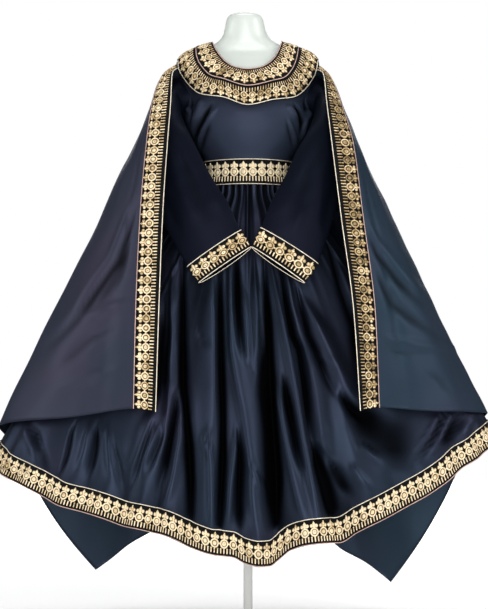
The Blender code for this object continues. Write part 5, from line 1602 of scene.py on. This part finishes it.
def cape_grid(lines_down, side):
    """Middle surface of a cape half, with its shares of the way round and down."""
    places = np.array(CAPE_AROUND)
    corner_at = places[CAPE_CORNER]
    around = np.concatenate((
        np.linspace(0.0, CAPE_BAND_PART, BAND_ROWS),
        np.linspace(CAPE_BAND_PART, corner_at, CAPE_COLUMNS * 2 // 3)[1:],
        np.linspace(corner_at, 1.0, CAPE_COLUMNS // 3)[1:],
    ))
    share = np.concatenate((
        CAPE_TOP_SHARES, np.linspace(CAPE_DOWN[0], 1.0, CAPE_ROWS - len(CAPE_TOP_SHARES))))
    table = []
    for top, line, depths in zip(cape_top(places, side), lines_down, CAPE_DEPTHS):
        points = [tuple(top)] + [(x, y, z) for (x, z), y in zip(line, depths)]
        table.append(smooth((0.0, *CAPE_DOWN), points, share))
    table = np.array(table)
    before = around <= corner_at
    rounded = smooth(places, table, around)
    pointed = np.concatenate((
        smooth(places[:CAPE_CORNER + 1], table[:CAPE_CORNER + 1], around[before]),
        smooth(places[CAPE_CORNER:], table[CAPE_CORNER:], around[~before])))
    corner = ramp(share, CAPE_CORNER_START, 1.0) ** 2
    grid = part_way(rounded, pointed, corner[None, :]).transpose(1, 0, 2).copy()
    starts = places[CAPE_CORNER - 1:CAPE_CORNER + 2]
    for start, end, (bow_x, bow_z), power in zip(
            starts[:-1], starts[1:], CAPE_TAIL_BOWS[side], CAPE_BOW_POWERS):
        bow = np.sin(math.pi * ramp(around, start, end) ** power)
        grid[..., 0] += bow_x * corner[:, None] * bow
        grid[..., 2] += bow_z * corner[:, None] * bow
    grid[0] = cape_top(around, side)
    normals = facing_out(grid, False)
    grow = ramp(share, CAPE_FOLD_START, CAPE_FOLD_START + CAPE_FOLD_GROWTH) ** 1.2
    fold = sum(h * np.exp(-((around - at) / w) ** 2) for at, h, w in CAPE_FOLDS)
    return grid + normals * (grow[:, None] * fold[None, :])[..., None], around, share


class DRESS_OT_cape(bpy.types.Operator):
    """Build both halves of the open-front cape with their embroidered bands"""

    bl_idname = "dress.cape"
    bl_label = "Cape"

    def execute(self, context):
        sizes = context.scene.dress_sizes
        for name, lines_down, side, creases, phase in (
            ("left", CAPE_LEFT, -1, CAPE_LEFT_CREASES, 32.8),
            ("right", CAPE_RIGHT, 1, CAPE_RIGHT_CREASES, 33.6),
        ):
            grid, around, share = cape_grid(lines_down, side)
            normals = facing_out(grid, False)
            free = ramp(around, CAPE_BAND_PART, CAPE_BAND_PART + CAPE_FREE_AROUND)[None, :]
            free = free * ramp(share, *CAPE_FREE_DOWN)[:, None]
            front = free * ramp(around, *CAPE_CREASED)
            moved, hollow = creased(grid, normals, creases)
            grid = part_way(grid, moved, front)
            moved = uneven(grid, normals, *CAPE_UNEVEN, phase)
            grid = part_way(grid, moved, free * ramp(around, 1.0, CAPE_CENTRE))
            normals = facing_out(grid, False)
            panel = satin_panel(f"cape_{name}", grid, normals, hollow * front, sizes,
                                "cape_satin")
            # the band starts one row below the collar, and its rows run along the front edge
            band, under = (rows[1:, :BAND_ROWS].transpose(1, 0, 2)[::-1]
                           for rows in (grid, normals))
            laid_band(f"cape_band_{name}", band + under * sizes.band_lift, under, sizes,
                      pipings=(("piping_side", 0.0, "copper_cord"),
                                             ("piping_front", 1.0, "gold_cord")))
        return {"FINISHED"}


class DRESS_OT_stage(bpy.types.Operator):
    """Build the pale floor, the soft studio lights and the camera"""

    bl_idname = "dress.stage"
    bl_label = "Stage"

    def execute(self, context):
        scene = context.scene
        bpy.ops.mesh.primitive_circle_add(
            vertices=FLOOR_SIDES, radius=FLOOR_RADIUS, fill_type="NGON")
        floor = context.object
        floor.name = "floor"
        material, tree, shader, where = new_material("pale_floor")
        away = add_node(tree, "ShaderNodeVectorMath", (("operation", "LENGTH"),), (),
                        ((0, where.outputs["Object"]),))
        glow = between(tree, away.outputs["Value"], *FLOOR_GLOW)
        finish_off(tree, shader, {"Emission Strength": glow}, {
            "Base Color": FLOOR_COLOUR, "Roughness": 0.9, "Emission Color": WHITE})
        floor.data.materials.append(material)
        for name, place, aim, size, energy in LIGHTS:
            lamp = bpy.data.lights.new(name, "AREA")
            lamp.shape = "DISK"
            lamp.size = size
            lamp.energy = energy
            holder = bpy.data.objects.new(name, lamp)
            holder.location = place
            x, y, z = (a - p for a, p in zip(aim, place))
            reach = math.sqrt(x * x + y * y + z * z)
            holder.rotation_euler = (
                math.acos(-z / reach), 0.0, math.atan2(y, x) - math.pi / 2)
            scene.collection.objects.link(holder)
        world = bpy.data.worlds.new("soft_studio")
        world.use_nodes = True
        tree = world.node_tree
        seen, soft = tree.nodes["Background"], tree.nodes.new("ShaderNodeBackground")
        seen.inputs["Color"].default_value = soft.inputs["Color"].default_value = WHITE
        soft.inputs["Strength"].default_value = AIR_LIGHT
        direct = tree.nodes.new("ShaderNodeLightPath")
        either = add_node(tree, "ShaderNodeMixShader", links=(
            ("Fac", direct.outputs["Is Camera Ray"]), (1, soft.outputs["Background"]),
            (2, seen.outputs["Background"])))
        tree.links.new(either.outputs["Shader"], tree.nodes["World Output"].inputs["Surface"])
        scene.world = world
        scene.view_settings.view_transform = "Standard"
        view = bpy.data.cameras.new("front_view")
        view.sensor_fit = "VERTICAL"
        view.sensor_height = CAMERA_SENSOR
        view.lens = CAMERA_LENS
        view.clip_end = CAMERA_REACH
        camera = bpy.data.objects.new("front_view", view)
        camera.location = CAMERA_PLACE
        camera.rotation_euler = (math.pi / 2, 0.0, 0.0)
        scene.collection.objects.link(camera)
        scene.camera = camera
        return {"FINISHED"}


class DRESS_PT_pieces(bpy.types.Panel):
    """Buttons for the pieces of the dress, with its sizes and colours"""

    bl_label = "Afghan bridal dress"
    bl_idname = "DRESS_PT_pieces"
    bl_space_type = "VIEW_3D"
    bl_region_type = "UI"
    bl_category = "Dress"

    def draw(self, context):
        layout = self.layout
        for operator in OPERATORS:
            layout.operator(operator.bl_idname)
        for group in (context.scene.dress_sizes, context.scene.dress_colours):
            box = layout.box()
            for name in group.__annotations__:
                box.prop(group, name)


OPERATORS = (
    DRESS_OT_form, DRESS_OT_bodice, DRESS_OT_collar, DRESS_OT_skirt, DRESS_OT_belt,
    DRESS_OT_sleeves, DRESS_OT_cape, DRESS_OT_stage,
)
CLASSES = (DressSizes, DressColours) + OPERATORS + (DRESS_PT_pieces,)


def register():
    for entry in CLASSES:
        bpy.utils.register_class(entry)
    bpy.types.Scene.dress_sizes = bpy.props.PointerProperty(type=DressSizes)
    bpy.types.Scene.dress_colours = bpy.props.PointerProperty(type=DressColours)


def unregister():
    del bpy.types.Scene.dress_colours
    del bpy.types.Scene.dress_sizes
    for entry in reversed(CLASSES):
        bpy.utils.unregister_class(entry)


def main():
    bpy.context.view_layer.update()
    register()
    bpy.ops.dress.form()
    bpy.ops.dress.bodice()
    bpy.ops.dress.collar()
    bpy.ops.dress.skirt()
    bpy.ops.dress.belt()
    bpy.ops.dress.sleeves()
    bpy.ops.dress.cape()
    bpy.ops.dress.stage()


if __name__ == "__main__":
    main()
